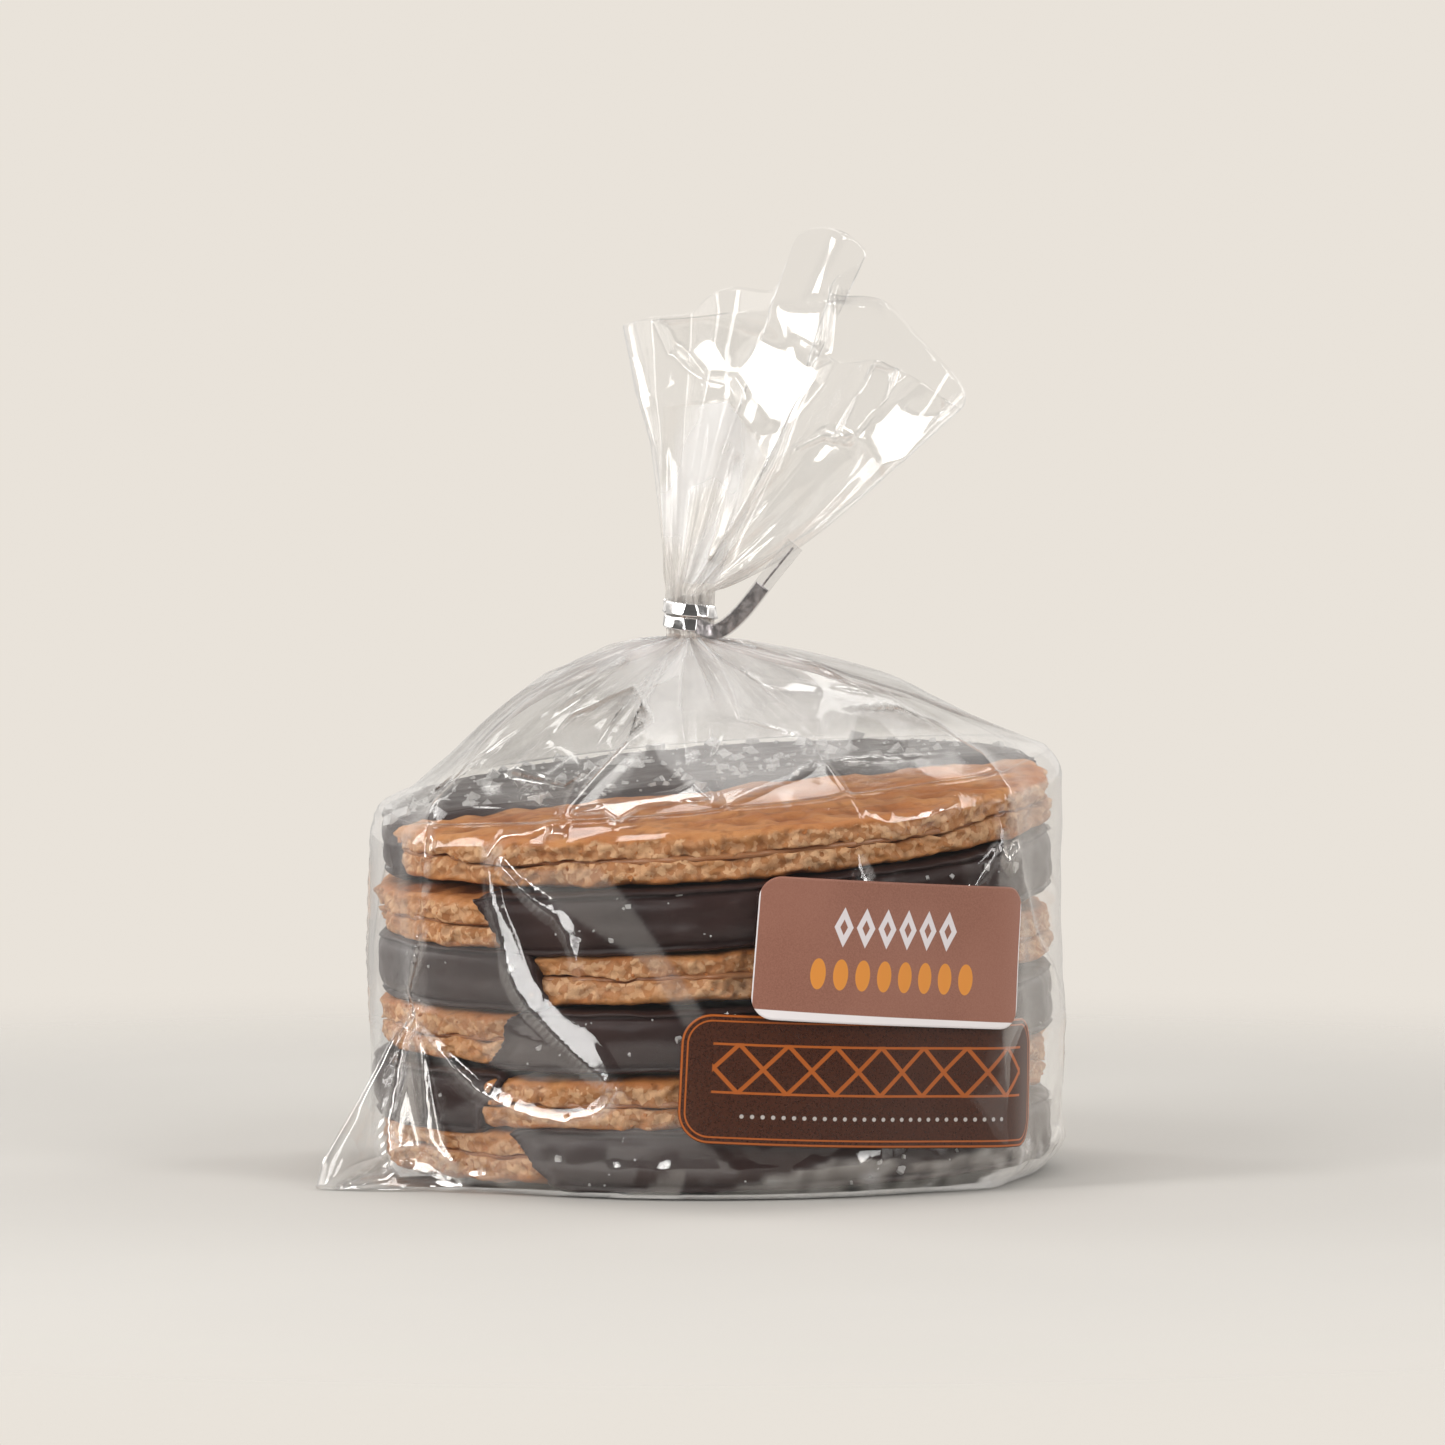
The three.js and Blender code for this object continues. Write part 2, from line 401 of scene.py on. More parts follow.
def makeLights():
    aim = np.array([0, 0, 60.0])
    for name, box in lights.items():
        away = lightWay(name)
        width, depth = box["size"]
        lamp = bpy.data.lights.new(name, "AREA")
        lamp.shape = "RECTANGLE"
        lamp.size = width * mm
        lamp.size_y = depth * mm
        lamp.energy = box["radiance"] * math.pi * width * depth * mm * mm
        lamp.color = lightColour
        thing = bpy.data.objects.new(name, lamp)
        bpy.context.scene.collection.objects.link(thing)
        thing.location = (aim + away * box["distance"]) * mm
        thing.rotation_euler = Vector(away).to_track_quat("Z", "Y").to_euler()
        thing.visible_camera = False


makeLights()

room = {
    "wall": (0.815, 0.766, 0.70),  # the pale backdrop
    "dark": 0.11,  # the room behind the camera
    "backdrop": 0.80,
    "ground": 0.45,  # the pale surface behind the bag
    "cards": 0.85,  # white cards level with the bag at both sides
    "cardTops": 2.0,  # how much brighter they are above the bag's own height
    "ceiling": 0.16,
}


def makeRoom(r):
    world = bpy.data.worlds.new("room")
    bpy.context.scene.world = world
    world.use_nodes = True
    nodes = Nodes(world.node_tree)
    x, y, z = nodes.value(nodes.add("ShaderNodeTexCoord"), "Generated").parts()
    above = z.between(-0.01, 0.01)
    back = y.between(-0.05, 0.25) * (above * (r["backdrop"] - r["ground"]) + r["ground"])
    back = back * (1 - z.between(0.48, 0.62))
    cards = abs(x).between(0.82, 0.86) * above * (1 - z.between(0.44, 0.48)) * r["cards"]
    cards = cards * (z.between(0.09, 0.12) * (r["cardTops"] - 1) + 1)
    ceiling = z.between(0.72, 0.85) * r["ceiling"]
    glow = back.maths("MAXIMUM", cards).maths("MAXIMUM", ceiling) + r["dark"]
    seen = nodes.value(nodes.add("ShaderNodeLightPath"), "Is Camera Ray")
    dim = nodes.add("ShaderNodeBackground", None, {"Color": (1.0, 0.96, 0.91, 1), "Strength": glow})
    plain = nodes.add("ShaderNodeBackground", None, {"Color": (*r["wall"], 1), "Strength": 1.0})
    mix = nodes.add("ShaderNodeMixShader", None, {0: seen})
    nodes.tree.links.new(dim.outputs[0], mix.inputs[1])
    nodes.tree.links.new(plain.outputs[0], mix.inputs[2])
    output = nodes.add("ShaderNodeOutputWorld")
    nodes.tree.links.new(mix.outputs[0], output.inputs["Surface"])


makeRoom(room)

scene = bpy.context.scene
scene.view_settings.view_transform = "Standard"
scene.cycles.transparent_max_bounces = 48
scene.cycles.max_bounces = 14
scene.cycles.glossy_bounces = 8
scene.cycles.caustics_reflective = False
scene.cycles.caustics_refractive = False

table = {
    "colour": (0.54, 0.525, 0.50),
    "radius": 700,
    "fadeCentre": 0,
    "fade": (170, 330),
}


def makeFloor(t):
    finish = Finish("table", Roughness=0.75, Specular_IOR_Level=0.15)
    x, y = finish.place().parts()[:2]
    y = y - (t["fadeCentre"] + stackAxis[1]) * mm
    away = (x * x + y * y) ** 0.5
    cloud = finish.noise(90, 2)
    pale = tuple(c * 1.05 for c in t["colour"])
    finish.feed(Base_Color=finish.blend(cloud, t["colour"], pale),
                Alpha=1 - away.between(t["fade"][0] * mm, t["fade"][1] * mm))
    angles = np.linspace(0, turn, 96, endpoint=False)
    ring = np.stack([np.cos(angles), np.sin(angles), 0 * angles], -1)
    rings = np.stack([ring * t["radius"], ring * t["radius"] * 0.5])
    points, faces = closeRings(rings, False, True)
    makeMesh("table", points + [0, t["fadeCentre"], -0.02], faces, finish.material)


makeFloor(table)
print("stage made")


# waffles

waffle = {
    "syrupRim": (0.75, 0.6, 0.4),  # how far in the syrup ends, and how far that varies broadly and finely
    "radius": 48.7,
    "wafer": 3.5,  # thickness of one wafer
    "syrup": 0.55,  # gap between the two wafers
    "grid": 7.4,  # pitch of the baked-in squares
    "gridDepth": 0.5,
    "coat": 0.85,  # thickness of the chocolate
    "around": 760,
    "sideRows": 13,
    "rimShare": 0.978,  # where a wafer's face starts to round over
}
# For each waffle, from the top: height of the middle, rise to the right, lean to the front, direction of the
# dipped half (270 faces the front), how far the dipped half's edge lies from the middle, how far that edge
# slants from top to bottom, shift to the right and back, and turn of the squares
stackColumns = ("z", "rise", "lean", "dip", "edge", "slant", "shift", "turned")
stack = [dict(zip(stackColumns, row)) for row in (
    (51.9, 4.1, 3.4, 105, -1.0, 1.5, (0.2, -0.1), 11),
    (42.6, 4.2, 2.5, 316, 1.4, -2.2, (-0.3, 0.0), 52),
    (33.2, 2.9, 1.4, 147, -1.0, 1.8, (0.4, 0.0), 80),
    (24.3, 2.2, 1.7, 321, -0.6, 2.6, (0.2, 0.1), 23),
    (15.0, 2.3, 1.4, 141, 0.5, -2.4, (-0.3, 0.0), 64),
    (6.2, 1.3, 0.6, 327, -1.0, -2.2, (0.1, 0.0), 37),
)]


def placeWaffle(points, spec):  # from the waffle's own place to its place in the stack
    rise, lean = spec["rise"] * degree, spec["lean"] * degree
    aboutY = np.array([[math.cos(rise), 0, -math.sin(rise)], [0, 1, 0], [math.sin(rise), 0, math.cos(rise)]])
    aboutX = np.array([[1, 0, 0], [0, math.cos(lean), -math.sin(lean)], [0, math.sin(lean), math.cos(lean)]])
    return points @ (aboutX @ aboutY).T + np.array([*spec["shift"], spec["z"]])


def rimRadius(angles, seed):  # a waffle's slightly uneven outline
    ring = np.stack([np.cos(angles), np.sin(angles), 0 * angles + seed * 5.3], -1) * 48
    return waffle["radius"] + 0.55 * softNoise(ring, 26, seed) + 0.3 * softNoise(ring, 7, seed + 3)


def gridRelief(points, turned):  # soft squares pressed into a wafer's face
    c, s = math.cos(turned * degree), math.sin(turned * degree)
    x = points[..., 0] * c + points[..., 1] * s
    y = points[..., 1] * c - points[..., 0] * s
    cell = math.pi / waffle["grid"]
    line = np.maximum(np.abs(np.cos(x * cell)) ** 5, np.abs(np.cos(y * cell)) ** 5)
    return waffle["gridDepth"] * (line - 0.45)


def waferRings(low, high, spec, seed, fine):  # one wafer between two heights
    w = waffle
    up = 1 if high > 0 else -1
    skin, inner = (high, low) if up > 0 else (low, high)
    angles = np.linspace(0, turn, w["around"], endpoint=False)
    ringXy = np.stack([np.cos(angles), np.sin(angles)], -1)
    ring = np.concatenate([ringXy * 48, np.full((len(angles), 1), seed * 9.0)], -1)
    rim = rimRadius(angles, spec["turned"]) + 0.35 * softNoise(ring, 9, seed)
    dip = spec["dip"] * degree
    out = np.array([math.cos(dip), math.sin(dip)])
    sideDipped = smoothStep(0.5, 3.5, ringXy @ out * rim - spec["edge"])
    skinWander = 0.34 * softNoise(ring, 4.2, seed + 20) + 0.2 * softNoise(ring, 1.7, seed + 21)
    shared = np.concatenate([ringXy * 48, np.full((len(angles), 1), spec["turned"])], -1)
    seamWander = 0.8 * softNoise(shared, 7, 22) + 0.4 * softNoise(shared, 2.2, 23)
    seamWander = seamWander + 0.22 * softNoise(ring, 1.6, seed + 24)

    hollowBakeAndShadeRows = []

    def face(share):
        xy = ringXy * (rim * share)[:, None]
        flat = np.concatenate([xy, 0 * xy[:, :1] + seed], -1)
        dipped = smoothStep(1.0, 4.0, xy @ out - spec["edge"])
        edge = smoothStep(0.88, w["rimShare"], share)
        bumps = gridRelief(flat, spec["turned"]) + 0.45 * softNoise(flat, 5, seed + 7)
        bumps = bumps + 0.26 * softNoise(flat, 1.9, seed + 8) + 0.3 * facets(flat, 3.4, seed + 9)
        height = bumps * (1 - 0.8 * edge) - 0.3 * edge - 0.5 * dipped + skinWander * edge * (1 - dipped)
        # darker in the hollows of the bumps: partly deeper bake, partly painted shade
        hollowBakeAndShadeRows.append(smoothStep(0.1, -0.5, bumps))
        return np.concatenate([xy, (skin + up * height)[:, None]], -1)

    def side(t):  # 0 at the syrup, 1 at the skin
        turned = np.clip((t - 0.6) / 0.4, 0, 1)
        profile = -rim * (1 - w["rimShare"]) * (1 - math.sqrt(1 - turned ** 2)) - 0.3 * (1 - t) ** 4
        z = inner + (skin - inner) * t
        at = np.concatenate([ringXy * 48, np.full((len(angles), 1), z * 1.2 + seed * 9)], -1)
        crumbs = 1.15 * facets(at, 3.6, seed + 11) + 0.6 * facets(at, 1.6, seed + 12)
        crumbs = crumbs + 0.3 * softNoise(at, 5, seed + 13) + 0.22 * softNoise(at, 0.9, seed + 14)
        crumbs = crumbs - 0.45 * smoothStep(0.3, 0.8, softNoise(at, 1.5, seed + 15))
        rough = (1 - 0.85 * sideDipped) * (1 - 0.75 * turned ** 3)
        xy = ringXy * (rim + profile + crumbs * rough - 0.8 * sideDipped)[:, None]
        z = z + up * (skinWander * (1 - sideDipped) - 0.3 - 0.5 * sideDipped) * t + seamWander * (1 - t)
        return np.concatenate([xy, z[:, None]], -1)

    inward = np.concatenate([np.linspace(0.12, 0.88, fine), [0.915, 0.945, 0.965]])
    inside = np.linspace(0.1, 0.96, 5)
    rows = [(side(0) * [s, s, 1], 1.0) for s in inside]
    rows += [(side(t), 1.0 - t ** 2.4) for t in np.linspace(0, 1, w["sideRows"])]
    sideRows = len(rows)
    rows += [(face(share), 0.0) for share in inward[::-1]]
    hollow = np.concatenate([np.zeros((sideRows, w["around"])), np.stack(hollowBakeAndShadeRows)])
    if up < 0:
        rows, hollow = rows[::-1], hollow[::-1]
    marks = np.repeat(np.array([mark for ring, mark in rows]), w["around"])
    rings = np.stack([ring for ring, mark in rows])
    return rings, np.append(marks, [0, 0]), np.append(hollow.ravel(), [0, 0])


def chocolateRings(spec, seed):  # the dipped part, a puck cut along a wavy line
    w = waffle
    reach = w["radius"] + w["coat"]
    half = w["wafer"] + w["syrup"] / 2 + w["coat"]
    dip = spec["dip"] * degree
    out = np.array([math.cos(dip), math.sin(dip)])
    middle = out * (spec["edge"] + reach) / 2
    angles = np.linspace(0, turn, 600, endpoint=False)
    ray = np.stack([np.cos(angles), np.sin(angles)], -1)
    b = ray @ middle
    toCircle = -b + np.sqrt(b * b + reach ** 2 - middle @ middle)
    slope = np.minimum(ray @ out, -1e-3)
    rimUneven = rimRadius(angles, spec["turned"]) - w["radius"]

    def reachAt(t):  # how far the chocolate goes at one height, and where that is rim, not cut
        place = np.concatenate([ray * 24, np.full((len(ray), 1), seed * 7.0 + t * 3.6)], -1)
        edge = spec["edge"] + 3.0 * softNoise(place, 7, seed) + 1.6 * softNoise(place, 2.8, seed + 1)
        edge = edge + spec["slant"] * t + 0.9 * softNoise(place * [1, 1, 3.0], 3.5, seed + 2)
        toEdge = np.where(ray @ out < -1e-3, (edge - middle @ out) / slope, 1e3)
        length = np.minimum(toCircle, toEdge)
        past = (middle + ray * length[:, None]) @ out - edge
        onRim = smoothStep(0.0, 2.5, past)
        thin = 1 - smoothStep(0.5, 7.0, past)  # the coat thins out towards the cut
        rimWave = 0.35 * softNoise(place, 7, seed + 2) + 0.16 * softNoise(place, 2, seed + 4)
        return length + (rimWave + rimUneven - 0.6 * thin) * onRim, onRim

    def face(share, up):
        length, onRim = reachAt(up)
        xy = middle + ray * (length * share)[:, None]
        flat = np.concatenate([xy, 0 * xy[:, :1] + seed * 3 + up], -1)
        near = (length * (1 - share))
        cut = (1 - onRim) * (1 - smoothStep(0.0, 2.6, near)) * 1.0
        rounded = onRim * (1 - np.sqrt(1 - (1 - np.clip(near / 1.9, 0, 1)) ** 2)) * 1.5
        z = half - cut - rounded + 0.2 * softNoise(flat, 11, seed + 5) + 0.1 * softNoise(flat, 3.2, seed + 6)
        z = z + 0.3 * gridRelief(flat, spec["turned"])
        return np.concatenate([xy, up * z[:, None]], -1)

    def side(t):
        drop = 1.5 * (1 - math.sqrt(max(0.0, 1 - abs(t) ** 3)))
        groove = 0.2 * math.exp(-(t / 0.3) ** 2)
        length, onRim = reachAt(t)
        at = np.concatenate([middle + ray * length[:, None], np.full((len(ray), 1), t * half + seed * 5)], -1)
        dents = 0.3 * softNoise(at, 7, seed + 8) + 0.14 * softNoise(at, 2.4, seed + 9)
        xy = middle + ray * (length + (dents - drop - groove) * onRim)[:, None]
        z = t * (half - 1.0 * (1 - onRim) - 1.5 * 0.55 * onRim)
        return np.concatenate([xy, z[:, None]], -1)

    shares = np.concatenate([np.linspace(0.1, 0.86, 14), [0.9, 0.935, 0.96, 0.98, 0.993]])
    rows = [face(share, -1) for share in shares]
    rows += [side(t) for t in np.linspace(-1, 1, 17)]
    rows += [face(share, 1) for share in shares[::-1]]
    return np.stack(rows)


def syrupRings(seed):  # a thin layer between the wafers, oozing a little in places
    around = 320
    angles = np.linspace(0, turn, around, endpoint=False)
    ring = np.stack([np.cos(angles), np.sin(angles)], -1)
    at = np.concatenate([ring * 48, np.full((around, 1), seed * 3.1)], -1)
    inset, broad, fine = waffle["syrupRim"]
    rim = waffle["radius"] - inset + broad * softNoise(at, 6, seed) + fine * softNoise(at, 2.0, seed + 1)
    half = waffle["syrup"] / 2 + 0.25
    rows = [(0.3, -half), (0.9, -half), (0.985, -half), (0.998, -half * 0.6), (1.0, 0), (0.998, half * 0.6),
            (0.985, half), (0.9, half), (0.3, half)]
    rings = [np.concatenate([ring * (rim * s)[:, None], np.full((around, 1), z)], -1) for s, z in rows]
    return np.stack(rings)


def waferColours():
    w = Finish("wafer", Roughness=0.62, Specular_IOR_Level=0.3)
    broad, middle, fine = w.noise(8, 3), w.noise(2.4, 4, 0.65), w.noise(0.7, 3, 0.7)
    cloud = w.value(w.add("ShaderNodeTexNoise", None, {"Vector": w.place(), "Scale": 900.0}), "Color")
    warped = w.add("ShaderNodeVectorMath", {"operation": "MULTIPLY_ADD"},
                   {0: cloud, 1: (0.0009, 0.0009, 0.0009), 2: w.place()})
    cells = w.add("ShaderNodeTexVoronoi", None, {"Vector": w.value(warped), "Scale": 1 / mm})
    tint = w.value(cells, "Color").parts()[0]
    skin = w.blend(broad.between(0.35, 0.65), (0.44, 0.160, 0.045), (0.56, 0.255, 0.090))
    skin = w.blend(middle.between(0.5, 0.72) * 0.55, skin, (0.30, 0.095, 0.024))
    # the face's hollows are darker: partly deeper bake, partly painted shade
    skin = w.blend(w.mark("hollow") * 0.75, skin, (0.27, 0.085, 0.022))
    cut = w.blend(tint.between(0.1, 0.9), (0.67, 0.405, 0.220), (0.42, 0.180, 0.066))
    cut = w.blend(w.value(cells, "Distance").between(0.5, 0.9) * 0.35, cut, (0.30, 0.125, 0.045))
    cut = w.blend(broad.between(0.46, 0.66) * 0.6, cut, (0.47, 0.195, 0.055))
    cut = w.blend(fine.between(0.58, 0.74) * 0.4, cut, (0.24, 0.095, 0.035))
    border = (w.mark("crumb") + (middle - 0.5) * 0.9 + (fine - 0.5) * 0.5).between(0.34, 0.62)
    colour = w.blend(border, skin, cut)
    # darker where pores would be: painted shade
    colour = w.blend(w.mark("pits") * 0.5, colour, (0.17, 0.062, 0.02))
    height = middle * 0.5 + fine * 0.6
    w.feed(Base_Color=colour, Normal=w.relief(height, 0.7, 0.4), Roughness=fine * 0.3 + 0.45)
    return w.material


def syrupColours():
    s = Finish("syrup", Roughness=0.3)
    s.feed(Base_Color=s.blend(s.noise(2.0, 3), (0.25, 0.100, 0.040), (0.45, 0.21, 0.09)),
           Normal=s.relief(s.noise(1.2, 3), 0.5, 0.3))
    return s.material


def chocolateColours():
    c = Finish("chocolate", Roughness=0.4, Specular_IOR_Level=0.24)
    broad, fine = c.noise(16, 3), c.noise(1.1, 4, 0.65)
    colour = c.blend(broad.between(0.3, 0.7), (0.022, 0.0092, 0.0085), (0.035, 0.0160, 0.0140))
    colour = c.blend(fine.between(0.62, 0.8) * 0.35, colour, (0.10, 0.055, 0.045))
    c.feed(Base_Color=colour, Roughness=c.noise(5, 3) * 0.25 + 0.27,
           Normal=c.relief(c.noise(2.6, 4, 0.6) * 0.7 + fine * 0.25, 0.35, 0.25))
    return c.material


def poreShadeMarks(rings, size, seed):  # painted shade of pores, 1 in the hollows of a rough surface
    soft = softNoise(rings.reshape(-1, 3), size, seed)
    return np.concatenate([smoothStep(0.35, 0.85, soft), [0, 0]])


def makeWaffles():
    finishes = {"wafer": waferColours(), "syrup": syrupColours(), "chocolate": chocolateColours()}
    chocolates = []
    gap = waffle["syrup"] / 2
    layers = (("lower", -gap - waffle["wafer"], -gap), ("upper", gap, gap + waffle["wafer"]))
    for number, spec in enumerate(stack, 1):
        def layer(part, slot, rings, marks=None):
            points, faces = closeRings(rings)
            name = f"waffle{number}_{part}"
            piece = makeMesh(name, placeWaffle(points, spec), faces, finishes[slot], marks)
            return addPiece(piece, slot, "bag")

        for side, low, high in layers:
            seed = number * 10 + len(side) + (side == "upper")
            fine = 30 if (number, side) == (1, "upper") else 8
            rings, crumb, hollow = waferRings(low, high, spec, seed, fine)
            marks = {"crumb": crumb, "hollow": hollow, "pits": poreShadeMarks(rings, 1.3, seed + 50)}
            layer(f"{side}_wafer", "wafer", rings, marks)
        layer("syrup", "syrup", syrupRings(number))
        chocolates.append(layer("chocolate", "chocolate", chocolateRings(spec, number)))
    return chocolates


chocolates = makeWaffles()
print("waffles made")


# salt and crumbs: grains scattered over a surface by geometry nodes

def makeScatter(name, sides):  # a tree that scatters grains of a few faces over its geometry
    tree = bpy.data.node_groups.new(name, "GeometryNodeTree")
    face = tree.interface
    face.new_socket("Geometry", in_out="INPUT", socket_type="NodeSocketGeometry")
    for socket, value in (("Density", 1.0), ("Smallest", 0.3), ("Largest", 1.0)):
        face.new_socket(socket, in_out="INPUT", socket_type="NodeSocketFloat").default_value = value
    face.new_socket("Seed", in_out="INPUT", socket_type="NodeSocketInt")
    face.new_socket("Finish", in_out="INPUT", socket_type="NodeSocketMaterial")
    face.new_socket("Geometry", in_out="OUTPUT", socket_type="NodeSocketGeometry")
    nodes = Nodes(tree)
    given = nodes.add("NodeGroupInput")
    ask = {s.name: nodes.value(given, s.name) for s in given.outputs if s.name}
    seed = ask["Seed"]
    spots = nodes.add("GeometryNodeDistributePointsOnFaces", None,
                      {"Mesh": ask["Geometry"], "Density": ask["Density"], "Seed": seed})
    ball = nodes.add("GeometryNodeMeshIcoSphere" if sides == "round" else "GeometryNodeMeshCube")
    if sides == "round":
        ball.inputs["Radius"].default_value = 0.5
        ball.inputs["Subdivisions"].default_value = 2
    crush = nodes.add("FunctionNodeRandomValue", {"data_type": "FLOAT_VECTOR"},
                      {0: (-0.22, -0.22, -0.22), 1: (0.22, 0.22, 0.22), "Seed": 3})
    shaped = nodes.add("GeometryNodeSetPosition", None,
                       {"Geometry": nodes.value(ball), "Offset": nodes.value(crush)})
    spin = nodes.add("FunctionNodeRandomValue", {"data_type": "FLOAT_VECTOR"},
                     {0: (0, 0, 0), 1: (turn, turn, turn), "Seed": seed})
    shape = nodes.add("FunctionNodeRandomValue", {"data_type": "FLOAT_VECTOR"},
                      {0: (0.55, 0.55, 0.45), 1: (1, 1, 0.9), "Seed": seed + 5})
    pick = nodes.value(nodes.add("FunctionNodeRandomValue", {"data_type": "FLOAT"},
                                 {2: 0.0, 3: 1.0, "Seed": seed + 9}), 1)
    size = ask["Smallest"] + (ask["Largest"] - ask["Smallest"]) * pick * pick * pick
    scaled = nodes.add("ShaderNodeVectorMath", {"operation": "SCALE"},
                       {0: nodes.value(shape), "Scale": size})
    many = nodes.add("GeometryNodeInstanceOnPoints", None,
                     {"Points": nodes.value(spots), "Instance": nodes.value(shaped),
                      "Rotation": nodes.value(spin), "Scale": nodes.value(scaled)})
    real = nodes.add("GeometryNodeRealizeInstances", None, {0: nodes.value(many)})
    finished = nodes.add("GeometryNodeSetMaterial", None, {0: nodes.value(real), "Material": ask["Finish"]})
    output = nodes.add("NodeGroupOutput")
    tree.links.new(finished.outputs[0], output.inputs[0])
    return tree


def scatter(name, slot, host, tree, values):  # puts a tree's grains on the host's faces
    modifier = host.modifiers.new(name, "NODES")
    modifier.node_group = tree
    for item in tree.interface.items_tree:
        if item.in_out == "INPUT" and item.name in values:
            modifier[item.identifier] = values[item.name]
    evaluated(host, name)
    host.name = name
    return addPiece(host, slot, "bag")


def facesWhere(name, things, keep):  # one mesh of the faces whose middle and normal pass a test
    points, faces, start = [], [], 0
    for thing in things:
        mesh = thing.data
        co = np.empty(len(mesh.vertices) * 3, np.float32)
        mesh.vertices.foreach_get("co", co)
        co = co.reshape(-1, 3) / mm - stackAxis
        for polygon in mesh.polygons:
            middle = np.array(polygon.center) / mm - stackAxis
            if keep(middle, np.array(polygon.normal)):
                faces.append(np.array(polygon.vertices) + start)
        points.append(co)
        start += len(co)
    points = np.concatenate(points)
    quads = np.array([f for f in faces if len(f) == 4])
    used, index = np.unique(quads, return_inverse=True)
    return makeMesh(name, points[used], [index.reshape(-1, 4)], things[0].data.materials[0])


def saltColours():
    s = Finish("salt", Roughness=0.25, IOR=1.5, Base_Color=(0.86, 0.86, 0.85, 1), Transmission_Weight=0.0)
    s.feed(Base_Color=s.blend(s.noise(0.8, 2), (0.62, 0.60, 0.58), (0.92, 0.92, 0.91)),
           Alpha=s.noise(1.5, 2) * 0.5 + 0.35)
    return s.material


grains = {
    "salt": {"Density": 26000.0, "Smallest": 0.0003, "Largest": 0.0014, "Seed": 4},
    "saltTop": {"Density": 76000.0, "Smallest": 0.0005, "Largest": 0.0025, "Seed": 9},
    "crumbs": {"Density": 60000.0, "Smallest": 0.0003, "Largest": 0.0011, "Seed": 6},
}


def makeGrains():
    cube, ball = makeScatter("saltScatter", "square"), makeScatter("crumbScatter", "round")
    salt = saltColours()
    rims = facesWhere("salt_rims", chocolates, lambda m, n: np.hypot(m[0], m[1]) > 47 and abs(n[2]) < 0.85)
    scatter("salt_rims", "salt", rims, cube, {**grains["salt"], "Finish": salt})
    top = facesWhere("salt_top", chocolates[:1], lambda m, n: n[2] > 0.8)
    scatter("salt_top", "salt", top, cube, {**grains["saltTop"], "Finish": salt})
    wafers = [bpy.data.objects[f"waffle{k}_{s}_wafer"] for k in range(1, 7) for s in ("lower", "upper")]
    edges = facesWhere("crumbs", wafers, lambda m, n: np.hypot(m[0], m[1]) > 46 and abs(n[2]) < 0.8)
    scatter("crumbs", "wafer", edges, ball, {**grains["crumbs"], "Finish": wafers[0].data.materials[0]})


makeGrains()
print("salt and crumbs made")


# film

film = {
    "radius": 51.0,
    "around": 520,
    "frontFineness": 0.62,  # columns lie closer together at the front
    "cornerAngles": (39, 141, 219, 321),
    "cornerPull": 3.2,
    "cornerWidth": 9,
    "rimRelief": 0.05,
    "pitch": 9.2,
    "baseRound": 4.5,
    "baseInset": 3.0,
    "shoulderRound": 4.0,
    "shoulderInset": 2.0,
    "wallRings": 78,
    "wallWaves": (0.9, 29, 0.2, 13),  # depth and size of the slack film's broad and narrow waves
    "neckX": -3.5,
    "neckRadius": 3.0,
    "neckLow": 78.2,
    "neckHigh": 85,
    "thickness": 0.06,
    "lift": 0.14,  # of the base's film above the ground
    "foldMark": 0.62,  # how milky a fold of the wall is painted: partly crease whitening, partly painted sheen
    "facets": (0.9, 1.7),  # depth of the back's broad facets, and of the base's at the left
    "topClearance": (50.2, 5.35, 2.2),  # reach, half height and rounding of the top waffle's clear space
}
# Folds of the wall away from the front: degrees round the bag and height along each, how far it stands out
# and how wide it is
wallFolds = [
    {"height": 0.5, "wide": 0.9, "path": [(86, 0), (86.5, 30), (86, 62)]},
    {"height": 0.5, "wide": 0.9, "path": [(95.5, 0), (95, 30), (95.5, 62)]},
    {"height": 1.1, "wide": 1.1, "path": [(39, 58), (43, 38), (38, 24)]},
    {"height": 1, "wide": 1, "path": [(38, 24), (31, 11), (28, 0)]},
    {"height": 1.2, "wide": 1.2, "path": [(38, 24), (40, 10), (39, 0)]},
    {"height": 0.9, "wide": 1, "path": [(38, 24), (47, 12), (54, 0)]},
    {"height": 1.1, "wide": 1.1, "path": [(141, 52), (136, 36), (142, 21)]},
    {"height": 1, "wide": 1, "path": [(142, 21), (133, 10), (127, 0)]},
    {"height": 1.2, "wide": 1.2, "path": [(142, 21), (141, 9), (144, 0)]},
    {"height": 0.9, "wide": 1, "path": [(142, 21), (152, 8), (156, 0)]},
    {"height": 0.8, "wide": 1, "path": [(321, 57), (325, 44), (336, 34), (352, 27)]},
    {"height": 0.8, "wide": 1.1, "path": [(39, 57), (24, 46), (8, 40)]},
    {"height": 0.8, "wide": 1.1, "path": [(141, 53), (158, 44), (172, 31)]},
    {"height": 0.7, "wide": 1.2, "path": [(60, 60), (66, 46), (76, 37)]},
    {"height": 0.7, "wide": 1.2, "path": [(122, 56), (112, 41), (108, 27)]},
    {"height": 0.7, "wide": 1.1, "path": [(10, 4), (4, 14), (2, 27)]},
    {"height": 0.7, "wide": 1.1, "path": [(188, 50), (184, 34), (190, 18)]},
]
